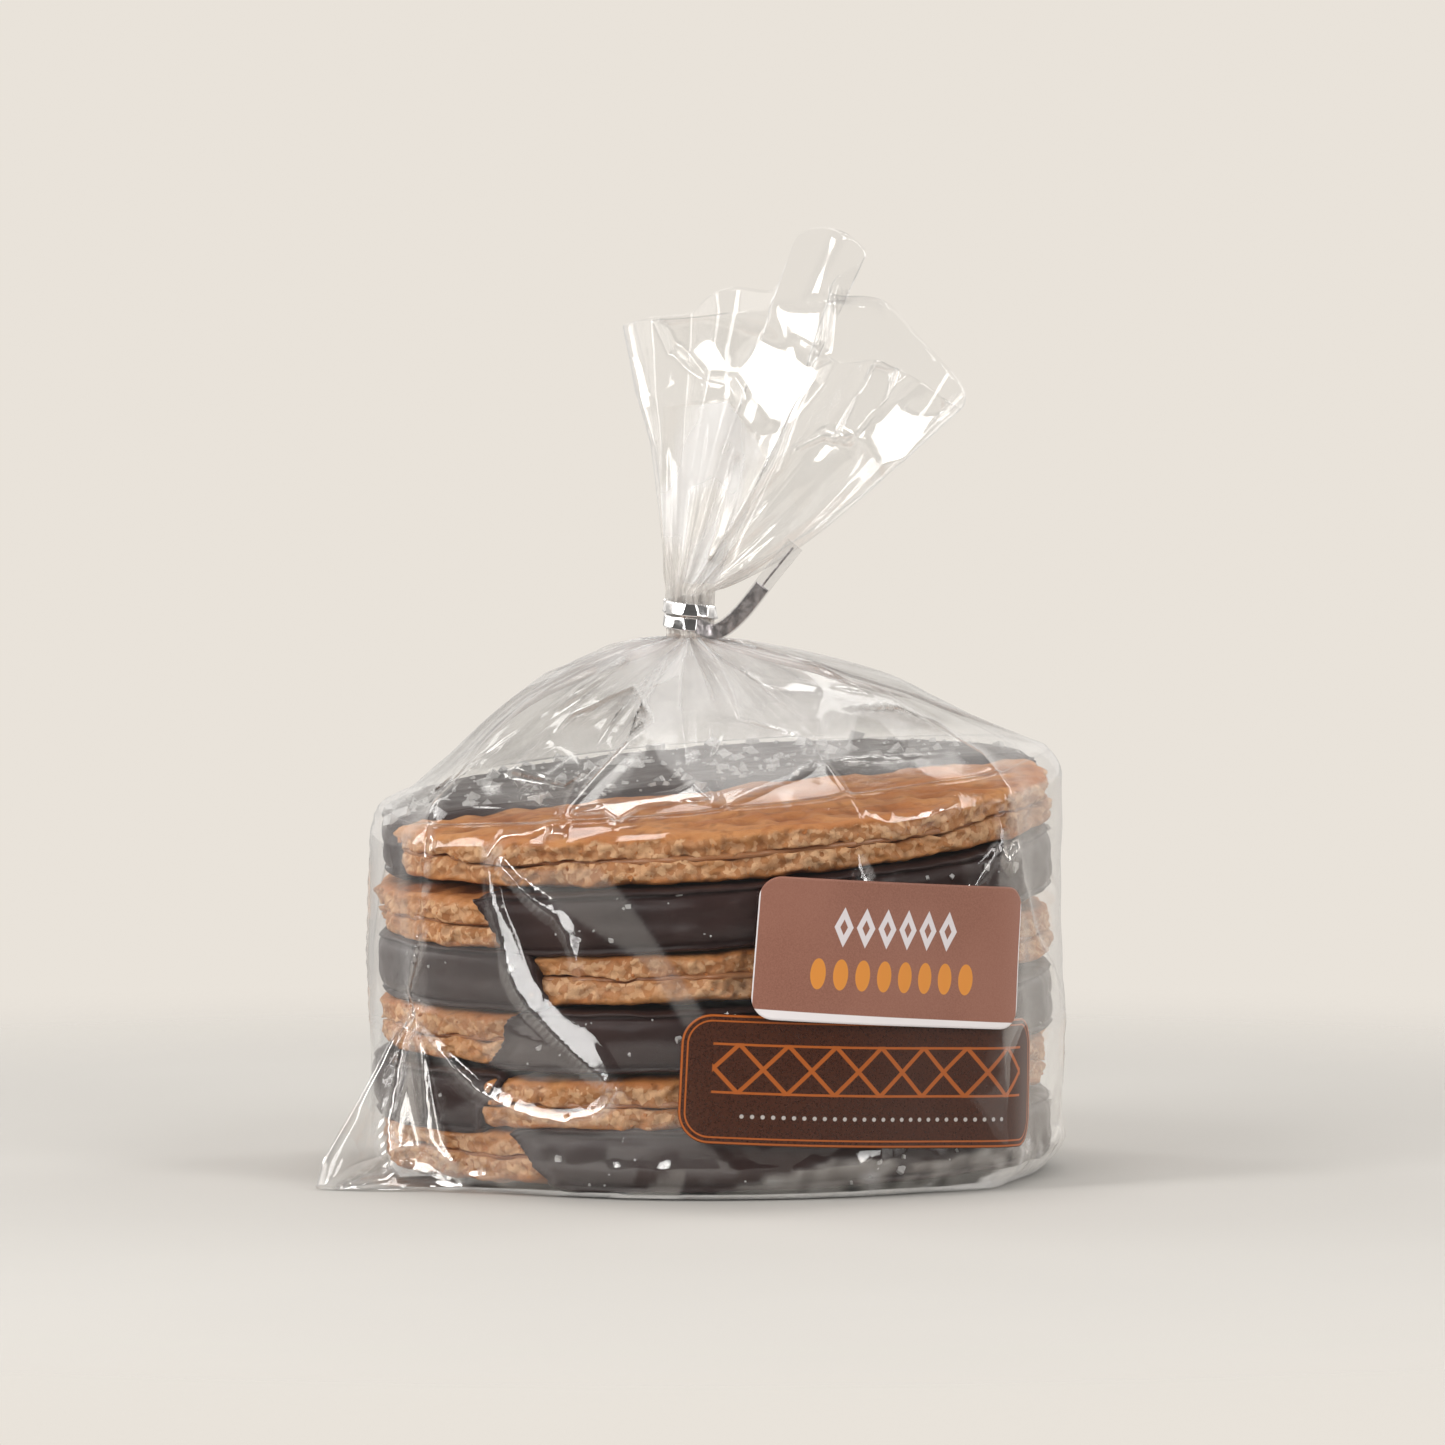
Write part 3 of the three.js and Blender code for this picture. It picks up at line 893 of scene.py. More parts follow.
# Stretches of the wall painted milky, partly for doubled and rubbed film, partly as painted sheen: degrees
# and height of their corners
wallPatches = [
    {"haze": 0.24, "outline": [(86, -1), (86.5, 30), (86, 63), (95.5, 63), (95, 30), (95.5, -1)]},
    {"haze": 0.26, "outline": [(38, 24), (31, 11), (28, -1), (39, -1), (40, 10)]},
    {"haze": 0.3, "outline": [(142, 21), (141, 9), (144, -1), (156, -1), (152, 8)]},
    {"haze": 0.2, "outline": [(141, 53), (158, 44), (172, 31), (158, 18), (147, 26)]},
    {"haze": 0.17, "outline": [(60, 60), (66, 46), (76, 37), (70, 12), (52, 22), (46, 44)]},
    {"haze": 0.2, "outline": [(122, 56), (112, 41), (108, 27), (114, 8), (130, 16), (134, 44)]},
    {"haze": 0.18, "outline": [(188, 50), (184, 34), (190, 18), (176, 6), (168, 26), (174, 46)]},
]
ear = {
    "angle": 210,
    "reach": 15.4,
    "height": 24.5,
    "front": 11.5,  # degrees that it spreads to each side
    "back": 10,
    "pinch": 1.6,
    "pleatDepth": 0.9,
    "ground": (217, 15),  # where it lies flat on the ground, and how far round that goes
}


def filmAngles():
    t = np.linspace(-1, 1, film["around"], endpoint=False)
    k = film["frontFineness"]
    return 1.5 * math.pi + math.pi * (k * t + (1 - k) * t ** 3)


def shoulderHeight(angle):
    return 57.2 + 4.7 * np.cos(angle) + 1.4 * np.sin(angle)


def cornerShare(angle, spread=1.0):
    width = film["cornerWidth"] * degree * spread
    return sum(bump(angle, a * degree, width) for a in film["cornerAngles"])


def wallRadius(angle, z):
    f = film
    top = shoulderHeight(angle)
    corner = cornerShare(angle)
    radius = f["radius"] + f["cornerPull"] * corner
    radius = radius + f["rimRelief"] * (1 - corner) * np.cos(turn * (z - f["pitch"] / 2) / f["pitch"])
    drop = np.clip(1 - z / ear["height"], 0, 1)
    off = np.arctan2(np.sin(angle - ear["angle"] * degree), np.cos(angle - ear["angle"] * degree))
    spread = np.where(off > 0, ear["front"], ear["back"]) * degree * (0.12 + 0.88 * drop)
    # a sharp ridge between two flat panels
    tent = np.sqrt((1 - np.abs(off / spread)).clip(0) ** 2 + 0.003) - 0.055
    rays = zigzag(off / spread * 7.5 + 0.6) * ear["pleatDepth"] * np.sqrt(drop) * (drop < 1)
    radius = radius + drop * ear["reach"] * tent + rays * smoothStep(1.35, 0.75, np.abs(off / spread))
    radius = radius - ear["pinch"] * np.exp(-((z - ear["height"]) / 2.2) ** 2) * np.exp(-(off / 0.08) ** 2)
    spreading = bump(angle, *(a * degree for a in ear["ground"]))
    radius = radius - f["baseInset"] * np.clip(1 - z / f["baseRound"], 0, 1) ** 2 * (1 - spreading)
    radius = radius - f["shoulderInset"] * np.clip(1 - (top - z) / f["shoulderRound"], 0, 1) ** 2
    return radius


def unrolled(angle, z, path):  # a place and a path on the wall, in millimetres from the path's second point
    middle = path[1][0] * degree
    off = np.arctan2(np.sin(angle - middle), np.cos(angle - middle)) * film["radius"]
    return off + 0 * z, z + 0 * off, [((a * degree - middle) * film["radius"], up) for a, up in path]


def wallFoldShape(angle, z):  # how far the folds stand out, and how milky the film is painted along folds and patches, 0 to 1: partly creased and double film, partly painted sheen
    push, mark = np.zeros((2, *np.broadcast(angle, z).shape))
    for fold in wallFolds:
        far, _, share = nearPath(*unrolled(angle, z, fold["path"]))[:3]
        strength = np.sin(share * math.pi * 0.8 + 0.3)
        push += fold["height"] * np.exp(-far / fold["wide"]) * strength
        mark = np.maximum(mark, film["foldMark"] * smoothStep(0.8, 0.1, far) * strength)
    for patch in wallPatches:
        inside = smoothStep(-0.4, 0.4, insideOutline(*unrolled(angle, z, patch["outline"])))
        mark = np.maximum(mark, patch["haze"] * inside)
    return push, mark


def onWall(angle, z):
    radius = wallRadius(angle, z)
    at = np.stack([radius * np.cos(angle), radius * np.sin(angle), z + 0 * angle], -1)
    broad, broadSize, narrow, narrowSize = film["wallWaves"]
    calm = smoothStep(0, 6, z) * smoothStep(0, 5, shoulderHeight(angle) - z)
    wave = broad * softNoise(at, broadSize, 5) + narrow * softNoise(at, narrowSize, 6)
    wave = wave + 0.5 * (facets(at, 15, 8)) * cornerShare(angle, 1.6)
    back, base = film["facets"]
    wave = wave + back * facets(at, 24, 12) * smoothStep(-0.3, 0.4, np.sin(angle))
    wave = wave + base * facets(at, 5, 9) * smoothStep(8, 3, z) * smoothStep(0.2, 0.9, np.sin(angle + 2.4))
    wave = wave + wallFoldShape(angle, z)[0]
    out = np.stack([np.cos(angle), np.sin(angle), 0 * angle], -1)
    return at + out * (np.maximum(wave, -0.5) * calm)[..., None]


def nearPath(across, up, path):  # distance to a path, side of it, share along it and the path's direction
    path = np.array(path, float)
    steps = np.linalg.norm(np.diff(path, axis=0), axis=1)
    best = np.full(across.shape, 1e9)
    side, share, alongX, alongH = (np.zeros(across.shape) for _ in range(4))
    done = 0.0
    for k, length in enumerate(steps):
        along = (path[k + 1] - path[k]) / length
        dx, dh = across - path[k, 0], up - path[k, 1]
        t = np.clip((dx * along[0] + dh * along[1]) / length, 0, 1)
        far = np.hypot(dx - along[0] * t * length, dh - along[1] * t * length)
        near = far < best
        best = np.where(near, far, best)
        side = np.where(near, -dx * along[1] + dh * along[0], side)
        share = np.where(near, (done + t * length) / steps.sum(), share)
        alongX = np.where(near, along[0], alongX)
        alongH = np.where(near, along[1], alongH)
        done += length
    return best, side, share, alongX, alongH, steps.sum()


def smoothAlong(share, values, knots, reach):  # scattered values, averaged near each knot
    weight = np.exp(-((knots[:, None] - share[None]) / reach) ** 2)
    return weight @ values / np.maximum(weight.sum(1), 1e-9)


# Ribbons of film that are turned to catch a light: each path runs in the front view, in millimetres
# across and up, with half-widths along it. The film is straight across a ribbon, so it shines evenly.
def turnToLight(p, bands):  # gives the new points and how milky they are painted, 0 to 1: painted highlight along the ribbons
    milkAndPaintedLightMark = np.zeros(p.shape[:2])
    for band in bands:
        normals = gridNormals(p)
        across, up, eye, away = frontView(p)
        far, side, share, alongX, alongH, total = nearPath(across, up, band["path"])
        widths = np.array(band["widths"], float)
        edge = band.get("edge", 0.5)
        width = np.interp(share, np.linspace(0, 1, len(widths)), widths)
        faces = (normals * eye).sum(-1)
        pick = (far < width + edge) & (faces > 0.12)
        core = pick & (far < np.maximum(width, 0.6))
        if core.sum() < 4:
            continue
        view = eye[core].mean(0)
        above = np.cross(view, [1.0, 0, 0])
        above /= np.linalg.norm(above)
        n, steep = normals[core], faces[core]
        tiltX, tiltH = -n[:, 0] / steep, -(n @ above) / steep
        crossNow = tiltH * alongX[core] - tiltX * alongH[core]
        knots = np.linspace(0, 1, int(total) + 2)
        reach = 2.2 / total
        centre = smoothAlong(share[core], -away[core] - crossNow * side[core], knots, reach)
        cross = smoothAlong(share[core], crossNow, knots, reach)
        length = np.gradient(centre, knots * total)
        pathX = smoothAlong(share[core], alongX[core], knots, reach)
        pathH = smoothAlong(share[core], alongH[core], knots, reach)
        half = reflected(band) + view
        deep = half @ view
        wantX, wantH = -half[:, 0] / deep, -(half @ above) / deep
        needLength = wantX[None] * pathX[:, None] + wantH[None] * pathH[:, None]
        needCross = wantH[None] * pathX[:, None] - wantX[None] * pathH[:, None]
        cost = np.abs(needLength - length[:, None]) + np.abs(needCross - cross[:, None]) * 0.15
        best = cost.argmin(1)[:, None]
        lean = smoothAlong(knots, np.take_along_axis(needCross, best, 1)[:, 0], knots, reach)
        more = np.clip(np.take_along_axis(needLength, best, 1)[:, 0] - length, -0.4, 0.4)
        drift = np.concatenate([[0], np.cumsum((more[1:] + more[:-1]) / 2 * np.diff(knots) * total)])
        drift = np.clip(drift - drift.mean(), -band.get("drift", 1.4), band.get("drift", 1.4)) + 0.7
        at = share[pick]
        level = np.interp(at, knots, centre + drift)
        aside = np.clip(side[pick], -width[pick], width[pick])
        shift = level + np.interp(at, knots, lean) * aside + away[pick]
        inside = np.clip((width[pick] + edge - far[pick]) / edge, 0, 1) * smoothStep(0.12, 0.3, faces[pick])
        p = p.copy()
        p[pick] += eye[pick] * (np.clip(shift, -1.0, 3.6) * inside)[:, None]
        # a ribbon's milky amount paints part of its highlight white: painted highlight
        milkAndPaintedLightMark[pick] = np.maximum(milkAndPaintedLightMark[pick], inside * band.get("haze", 0.0))
    return p, milkAndPaintedLightMark


def insideOutline(across, up, outline):  # how far inside an outline in the front view, negative outside
    outline = np.array(outline, float)
    within = np.zeros(across.shape, bool)
    for (ax, ah), (bx, bh) in zip(outline, np.roll(outline, -1, 0)):
        crosses = (ah > up) != (bh > up)
        within ^= crosses & (across < ax + (up - ah) * (bx - ax) / (bh - ah if bh != ah else 1e-9))
    far = nearPath(across, up, np.concatenate([outline, outline[:1]]))[0]
    return np.where(within, far, -far)


def flatPanels(p, milkAndPaintedLightMark, panels):  # stretches of film drawn flat, so that they mirror one light evenly
    for panel in panels:
        facing = -1 if panel.get("behind") else 1
        normals = gridNormals(p) * facing
        across, up, eye = frontView(p)[:3]
        depth = insideOutline(across, up, panel["outline"])
        seen = (normals * eye).sum(-1) > 0.1
        core, pick = (depth > 0) & seen, (depth > -0.5) & seen
        if not core.any():
            continue
        v, usual, centre = eye[core].mean(0), normals[core].mean(0), p[core].mean(0)
        half = reflected(panel) + v
        half /= np.linalg.norm(half, axis=-1, keepdims=True)
        half = half[(half @ usual).argmax()]
        shift = ((centre - p[pick]) @ half) / (v @ half)
        limit = panel.get("limit", 3.5)
        shift = np.clip(shift, -panel.get("inward", limit), limit)
        inside = smoothStep(-0.5, panel.get("ramp", 0.1), depth[pick])
        p = p.copy()
        p[pick] += v * (shift * inside)[:, None]
        # a panel's milky amount paints it white: painted highlight
        panelPaintedLight = panel.get("haze", 0.0) * inside
        milkAndPaintedLightMark[pick] = np.maximum(milkAndPaintedLightMark[pick], panelPaintedLight)
    return p, milkAndPaintedLightMark


def paintedLightVeils(p, milkAndPaintedLightMark, veils):  # stretches of film painted milky or grey, seen from the front: painted reflections and highlights, with the fan's core partly gathered film
    across, up, eye = frontView(p)[:3]
    front = smoothStep(-0.1, 0.1, (gridNormals(p) * eye).sum(-1))
    for veil in veils:
        inside = smoothStep(-0.3, 0.3, insideOutline(across, up, veil["outline"])) * front
        rough = 1 + veil.get("rough", 0.0) * facets(p, 3.4, 81)
        milkAndPaintedLightMark = np.maximum(milkAndPaintedLightMark, inside * veil["haze"] * rough)
    return milkAndPaintedLightMark


def creaseLines(p, lines):  # fine ridges pushed out along paths in the front view
    for line in lines:
        normals = gridNormals(p)
        across, up, eye = frontView(p)[:3]
        far, side, share = nearPath(across, up, line["path"])[:3]
        wide = np.where(side > 0, line["left"], line["right"])
        depth = line["height"] * np.sin(np.clip(share * 0.92 + 0.04, 0, 1) * math.pi) ** 0.5
        seen = smoothStep(0.1, 0.3, (normals * eye).sum(-1))
        p = p + normals * (depth * np.exp(-far / wide) * seen)[..., None]
    return p


# each ribbon's milky amount paints part of its highlight white: painted highlight
wallBands = [
    {"lights": "hook", "haze": 0.08, "widths": [0.5, 0.85, 0.9, 1.2, 1.5, 1.7, 1.7, 1.9, 2, 1.5, 0.7],
     "path": [(-33.4, 45.2), (-32.1, 38.2), (-30.1, 32.8), (-29.3, 29.5), (-28, 26.8), (-26.2, 24.1),
     (-23.4, 21.4), (-20.4, 18.7), (-18.2, 16.3), (-16.2, 14), (-14.6, 11.4)]},
    {"lights": "left hook", "haze": 0.2, "widths": [0.3, 0.45, 0.5, 0.6, 0.6, 0.6, 0.6, 0.8, 0.5],
     "path": [(-43.9, 21.8), (-38.2, 14.8), (-34.2, 11.2), (-30.1, 9), (-25.4, 7.3), (-21.7, 7),
     (-17.7, 7.9), (-15.9, 9.3), (-14.7, 11.6)]},
    {"lights": "hook", "haze": 0.08, "widths": [0.3, 0.3, 0.7, 1, 1.2, 0.5], "path": [(-31.5, 44.6),
     (-27.6, 40.4), (-25, 38.5), (-22.4, 37), (-20.6, 34), (-20.1, 29.9)]},
    {"lights": "left hook", "widths": [0.3, 0.5, 0.5, 0.5], "haze": 0.2, "path": [(-44.4, 22.5),
     (-46.8, 12.6), (-48.2, 6.4), (-47.6, 2.2)]},
    {"lights": "left hook", "widths": [0.3, 0.4, 0.5, 0.8, 0.5], "haze": 0.2, "path": [(-44.2, 21.8),
     (-42.8, 16.3), (-42.2, 10.1), (-41.6, 4.2), (-39, 0.2)]},
    {"lights": "left hook", "widths": [0.2, 0.2], "edge": 0.35, "haze": 0.25, "path": [(-41.3, 54),
     (-41.9, 46.8), (-42.5, 39.4), (-44.1, 30.6), (-45, 26.2), (-44.2, 23.5)]},
    {"lights": "right", "widths": [0.4, 1], "path": [(20.9, 46.2), (22.1, 42.2)]},
    {"lights": "right", "widths": [0.4, 0.8, 0.3], "path": [(41.4, 46.2), (39.2, 43), (37.9, 40.6)]},
    {"lights": "right hook", "widths": [0.3, 0.4, 0.4, 0.3], "path": [(42.1, 52.5), (42.6, 46.5),
     (43.6, 44.6), (44.6, 47)]},
    {"lights": "left hook", "widths": [0.5, 0.3], "path": [(2.4, 22.2), (3.2, 18.8)]},
]
# milky panels along the base: painted highlights of the foot
wallPanels = [
    {"lights": "left hook", "limit": 3, "haze": 0.3, "outline": [(-55.9, -2.9), (-47.7, 1.5), (-44.4, 2.5),
     (-42.8, 2), (-40.4, 0.9), (-37.5, -1.3), (-36.5, -2.2), (-41.1, -1.5), (-44.4, -0.9), (-46.6, 0.5),
     (-51, -0.9)]},
    {"lights": "left hook", "limit": 2, "inward": 0, "haze": 0.3, "outline": [(-36.2, -1.7), (-33.8, -0.9),
     (-28.7, -1.1), (-23.6, -2.4), (-19.5, -4), (-30.9, -2.7)]},
    {"lights": "left hook", "limit": 2, "inward": 0, "haze": 0.3, "outline": [(-15.1, -4.2), (-10, -3.5),
     (-7.8, -1.6), (-6, -0.4), (-4.2, -0.2), (-4.7, -2.4), (-5.3, -4.2)]},
]
# painted veils: grey and warm reflections on the wall, and white highlights along the base
wallVeils = [
    {"haze": 0.26, "outline": [(-29.5, 43.9), (-16.9, 44.2), (-12.8, 39.6), (-6.8, 31), (0.6, 19.4),
     (-4.5, 21.2), (-10.2, 30.2), (-16, 33.8), (-21.8, 37.5)]},
    {"haze": 0.18, "outline": [(-44, 33), (-44.5, 24), (-41.8, 23), (-34.5, 18.2), (-33, 15.6),
     (-28.7, 13.4), (-22, 12.6), (-15.2, 11.9), (-16.6, 14.1), (-19.5, 15.8), (-22.3, 18.6), (-25, 21.5),
     (-28.5, 25), (-30.2, 29.5), (-31.5, 34)]},
    {"haze": 0.15, "outline": [(-40, 8.2), (-36, 10), (-30.1, 7.5), (-25.4, 5), (-18, 4.8), (-5.3, 6.8),
     (0.9, 2), (4, -1), (-1, -2), (-11, 0.3), (-12, -2.5), (-20, -3), (-36, 0), (-38, 4)]},
    {"haze": 0.38, "outline": [(43.5, 55), (52, 58), (54, 2), (44, 0), (42.5, 20), (41.5, 40)]},
    {"haze": 0.42, "rough": 1.4, "outline": [(18, 1.5), (33, 1), (44, 4), (50, 6), (50, 0), (30, -4),
     (5, -6), (0, -4)]},
    {"haze": 0.3, "outline": [(-56.1, -2.9), (-54.3, -1), (-50.8, 0.6), (-47.8, 2.2), (-46.9, 1.6),
     (-51, -0.5)]},
    {"haze": 0.3, "outline": [(-47.8, 2.4), (-43.3, 2.5), (-41.9, 1.6), (-40.4, 0.6), (-36.5, -2),
     (-41, -1.3), (-45.5, -0.3), (-47.3, 1.2)]},
    {"haze": 0.34, "outline": [(-42.7, 12), (-41.9, 10.5), (-40.4, 7.2), (-39.2, 2.6), (-36.6, -2),
     (-41, 0.6), (-43.2, 2.3), (-42.1, 4.4), (-42, 8)]},
    {"haze": 0.3, "outline": [(-44.4, 20), (-45.8, 12), (-47, 6), (-46.8, 2.2), (-43, 2.2), (-43, 12)]},
    {"haze": 0.3, "outline": [(-36.5, -2), (-34.5, -1.1), (-30.9, -1), (-25.5, -1.9), (-18.2, -4.2),
     (-28, -3.6)]},
    {"haze": 0.3, "outline": [(-15.5, -4.4), (-10, -3.7), (-7.1, -1.7), (-5.4, -0.6), (-4.2, -0.1),
     (-4.5, -1.8), (-5.4, -4.1)]},
]
wallCreases = [
    {"height": 0.9, "left": 0.5, "right": 0.8, "path": [(-41.3, 54), (-41.9, 46.8), (-42.5, 39.4),
     (-44.1, 30.6), (-45, 26.2), (-44.2, 23.5)]},
    {"height": 1, "left": 0.5, "right": 0.9, "path": [(-44.8, 22.7), (-50.3, 11.2), (-55.9, -2.7)]},
    {"height": 1, "left": 0.6, "right": 0.8, "path": [(-45.4, 23.8), (-41.8, 22.5)]},
    {"height": 0.35, "left": 0.5, "right": 1.5, "path": [(-14.3, 11), (-18.5, 15), (-22.5, 17),
     (-29, 19.5)]},
]


def wallRings():
    f = film
    angles = filmAngles()
    ground = onWall(angles, np.zeros_like(angles))
    rings = [ground * np.array([s, s, 1]) + [0, 0, f["lift"]] for s in (0.3, 0.62, 0.86)]
    shares = np.concatenate([[0.0, 0.006, 0.016, 0.032, 0.052], np.linspace(0.075, 1, f["wallRings"])])
    height = shoulderHeight(angles)
    for share in shares:
        ring = onWall(angles, share * height)
        ring[..., 2] += f["lift"]
        rings.append(ring)
    return np.stack(rings)


shoulder = {
    "rings": 88,
    "bulge": 2.6,
    "leftBulge": 3.2,
    "pleats": 13,
    "pleatDepth": 1.5,
    "crumple": (1.9, 23, 0.26, 9),  # depth and size of large and small facets
    "milk": (0.56, 2.2),  # haze at the neck and how fast it fades downwards
}


def shoulderRings(wallTop):
    f, s = film, shoulder
    angles = filmAngles()
    share = np.linspace(0, 1, s["rings"])[:, None]
    a = angles[None, :]
    phase = s["pleats"] * (a + 0.14 * np.sin(2 * a + 1) + 0.07 * np.sin(5 * a + 0.5))
    tight = share ** 2.2
    fold = 0.20 * tight * zigzag(phase + math.pi / 2) + 0.07 * tight * zigzag(2 * phase + 2.0)
    neckAngle = a + fold
    squeeze = 1 + 0.28 * zigzag(phase) * share + 0.12 * zigzag(2 * phase + 1.0)
    neck = np.stack([f["neckX"] + f["neckRadius"] * squeeze * np.cos(neckAngle),
                     f["neckRadius"] * squeeze * np.sin(neckAngle), f["neckLow"] + 0 * neckAngle], -1)
    wall = wallTop[None, :, :]
    eased = share ** 1.06
    p = wall * (1 - eased)[..., None] + neck * eased[..., None]
    swell = np.sin(math.pi * share)
    leftness = bump(a, 170 * degree, 48 * degree)
    late = np.sin(math.pi * share ** 1.7)
    p[..., 2] += s["bulge"] * swell * (0.5 + 0.7 * cornerShare(a, 1.5)) + s["leftBulge"] * late * leftness
    n = gridNormals(p)
    depth = s["pleatDepth"] * share ** 1.1 * (1 - share) ** 0.35
    push = depth * zigzag(phase) + 0.4 * depth * zigzag(2 * phase + 1.0)
    push = push + 0.12 * depth * zigzag(5 * phase + 3.0)
    big, bigSize, small, smallSize = s["crumple"]
    push = push + swell ** 0.7 * (big * facets(p, bigSize, 21) + small * facets(p, smallSize, 23))
    push = push + 0.8 * softNoise(p, 16, 25) * swell
    return p + n * (push * smoothStep(0, 0.06, share))[..., None]


shoulderBands = [
    {"lights": "left hook", "widths": [0.4, 0.4, 0.5, 0.35, 0.35], "path": [(-33.4, 45.6), (-32.5, 47.2),
     (-31.3, 48.7), (-26.8, 49.6), (-21.7, 51.5)]},
    {"lights": "left hook", "widths": [0.45, 0.45], "edge": 0.3, "path": [(-23.9, 49.2), (-22.1, 49.4)]},
    {"lights": "right", "widths": [0.3, 0.8, 0.8, 0.3], "path": [(22.5, 51.8), (25.7, 50.8), (30.3, 51.5),
     (35.1, 53.2)]},
    {"lights": "left top", "widths": [0.4, 0.7, 0.4], "path": [(5, 73), (7, 71.8), (20, 69.5)]},
    {"lights": "left", "widths": [0.3, 0.3, 0.3], "path": [(-40.5, 56), (-27.1, 65.2), (-13.5, 74.6)]},
]
# milky amounts here paint part of the panels' highlights white: painted highlight
shoulderPanels = [
    {"lights": "left hook", "haze": 0.1, "outline": [(-20.6, 52.3), (-15.8, 53.6), (-5.7, 55.4), (-3, 56.8),
     (-0.8, 54.6), (-6, 53.9), (-10.9, 53.2), (-14.3, 51.2), (-16.2, 52.6)]},
    {"lights": "left right top", "haze": 0.2, "outline": [(9.6, 55.2), (11.5, 55.6), (10.8, 52.8)]},
    {"toward": (160, 52), "limit": 2.5, "outline": [(-30, 58.5), (-20.5, 66.5), (-12, 70.5), (-9.5, 66),
     (-16.5, 60), (-22, 56.5)]},
    {"toward": (-175, 50), "limit": 2.5, "haze": 0.2, "outline": [(1, 55), (0, 61), (3, 66), (12, 63.5),
     (12, 58)]},
    {"lights": "left right top", "limit": 2.5, "haze": 0.2, "outline": [(16, 70.9), (26, 69.2),
     (29.8, 66.6), (24, 66), (19.5, 66.9), (15, 66.6)]},
    {"toward": (166, 54), "limit": 2.5, "outline": [(15, 60), (33, 61), (36, 63), (33, 65.5), (27, 67.6),
     (17, 67)]},
]
# painted veils: grey reflections and highlights on the shoulder
shoulderVeils = [
    {"haze": 0.3, "outline": [(6, 72.4), (9, 72.2), (16, 70.9), (26, 69.2), (29.8, 66.6), (28, 62.5),
     (26.5, 63.5), (24, 66), (19.5, 66.9), (15, 66.6), (9.5, 71)]},
    {"haze": 0.3, "outline": [(-9, 78), (-12, 68), (-8, 60), (-1.5, 54), (2, 53.4), (12, 57.5), (20, 61),
     (22, 70), (8, 77)]},
    {"haze": 0.15, "outline": [(-20, 57), (-9, 71), (-5, 69), (-14, 55)]},
    {"haze": 0.24, "outline": [(27, 69), (40, 62), (43.5, 56), (38, 57), (28.5, 62)]},
]
shoulderCreases = [
    {"height": 0.9, "left": 0.5, "right": 0.4, "path": [(-41.3, 54), (-27.1, 64.4), (-12.8, 75)]},
    {"height": 0.8, "left": 0.6, "right": 0.4, "path": [(-41.3, 53.8), (-20, 66), (-9.5, 74)]},
    {"height": 0.8, "left": 1.6, "right": 0.6, "path": [(-41.3, 53.7), (-31.5, 53), (-21.8, 52.2)]},
    {"height": 1.1, "left": 0.8, "right": 0.8, "path": [(-21.8, 52.4), (-17.5, 61), (-10, 71.5)]},
    {"height": 0.9, "left": 0.7, "right": 1.1, "path": [(-21.8, 52.4), (-14, 60), (-7, 69)]},
    {"height": 1, "left": 0.8, "right": 1, "path": [(-1.3, 68), (1.9, 53.4)]},
    {"height": 1, "left": 1.4, "right": 0.6, "path": [(1.9, 53.4), (12.2, 57.9), (17, 60.5)]},
    {"height": 0.9, "left": 0.7, "right": 1, "path": [(13.2, 63.5), (17.1, 58.1), (21.5, 52.2)]},
    {"height": 1, "left": 0.7, "right": 1.1, "path": [(14, 74.5), (26, 67.5), (39, 60.7), (43.1, 55.7),
     (43.5, 50.5)]},
    {"height": 0.7, "left": 0.6, "right": 0.6, "path": [(-41.3, 53.8), (-25, 60.5), (-12.5, 68)]},
    {"height": 0.8, "left": 0.5, "right": 0.7, "path": [(-21.8, 52.4), (-12, 63), (-8.5, 73)]},
    {"height": 0.5, "left": 0.4, "right": 0.5, "path": [(-14.5, 62), (-9, 70), (-6.5, 76)]},
    {"height": 0.5, "left": 0.4, "right": 0.6, "path": [(5, 62), (3, 70), (-0.5, 77)]},
    {"height": 0.5, "left": 0.5, "right": 0.4, "path": [(-4, 60), (-5, 68), (-4.5, 76)]},
]


def filmColours():
    f = Finish("clearFilm")
    edge = f.value(f.add("ShaderNodeLayerWeight", None, {"Blend": 0.5}), "Facing")
    sheen = (edge ** 5) * 0.55 + 0.029
    worn, fold, smoke = f.mark("crease"), f.mark("fold"), f.mark("smoke")
    # the fold mark paints the film milky white and turns its metal down: partly crease whitening and double
    # film, partly painted highlights and reflections
    alpha = sheen + worn * 0.14 + fold * 0.30 + smoke * 0.22
    # a warm tint on the lighter milky marks: painted warm reflection of the table and walls
    tint = fold.between(0.1, 0.3) * (1 - fold.between(0.45, 0.8)) * (1 - smoke.between(0.0, 0.2))
    colour = f.blend(tint, (0.95, 0.95, 0.955), (0.94, 0.91, 0.87))
    # a grey veil over the shoulder: partly layered film, partly painted dark reflection of the room
    colour = f.blend(smoke.between(0.0, 0.5) * (1 - fold.between(0.15, 0.55)), colour, (0.66, 0.655, 0.64))
    f.feed(Alpha=alpha.maths("MINIMUM", 0.95), Roughness=fold * 0.26 + smoke * 0.16 + 0.07, Base_Color=colour,
           Metallic=(0.94 - fold * 1.3 - smoke * 0.8).maths("MAXIMUM", 0.0),
           Normal=f.relief(f.noise(3.2, 3), 0.10, 0.25))
    return f.material


def creaseMark(p):  # how sharply the film bends at each point, 0 to 1
    n = gridNormals(p)
    sideways = 1 - (n * np.roll(n, 1, 1)).sum(-1)
    upward = np.zeros(p.shape[:2])
    upward[1:] = 1 - (n[1:] * n[:-1]).sum(-1)
    return smoothStep(0.02, 0.5, sideways + upward)


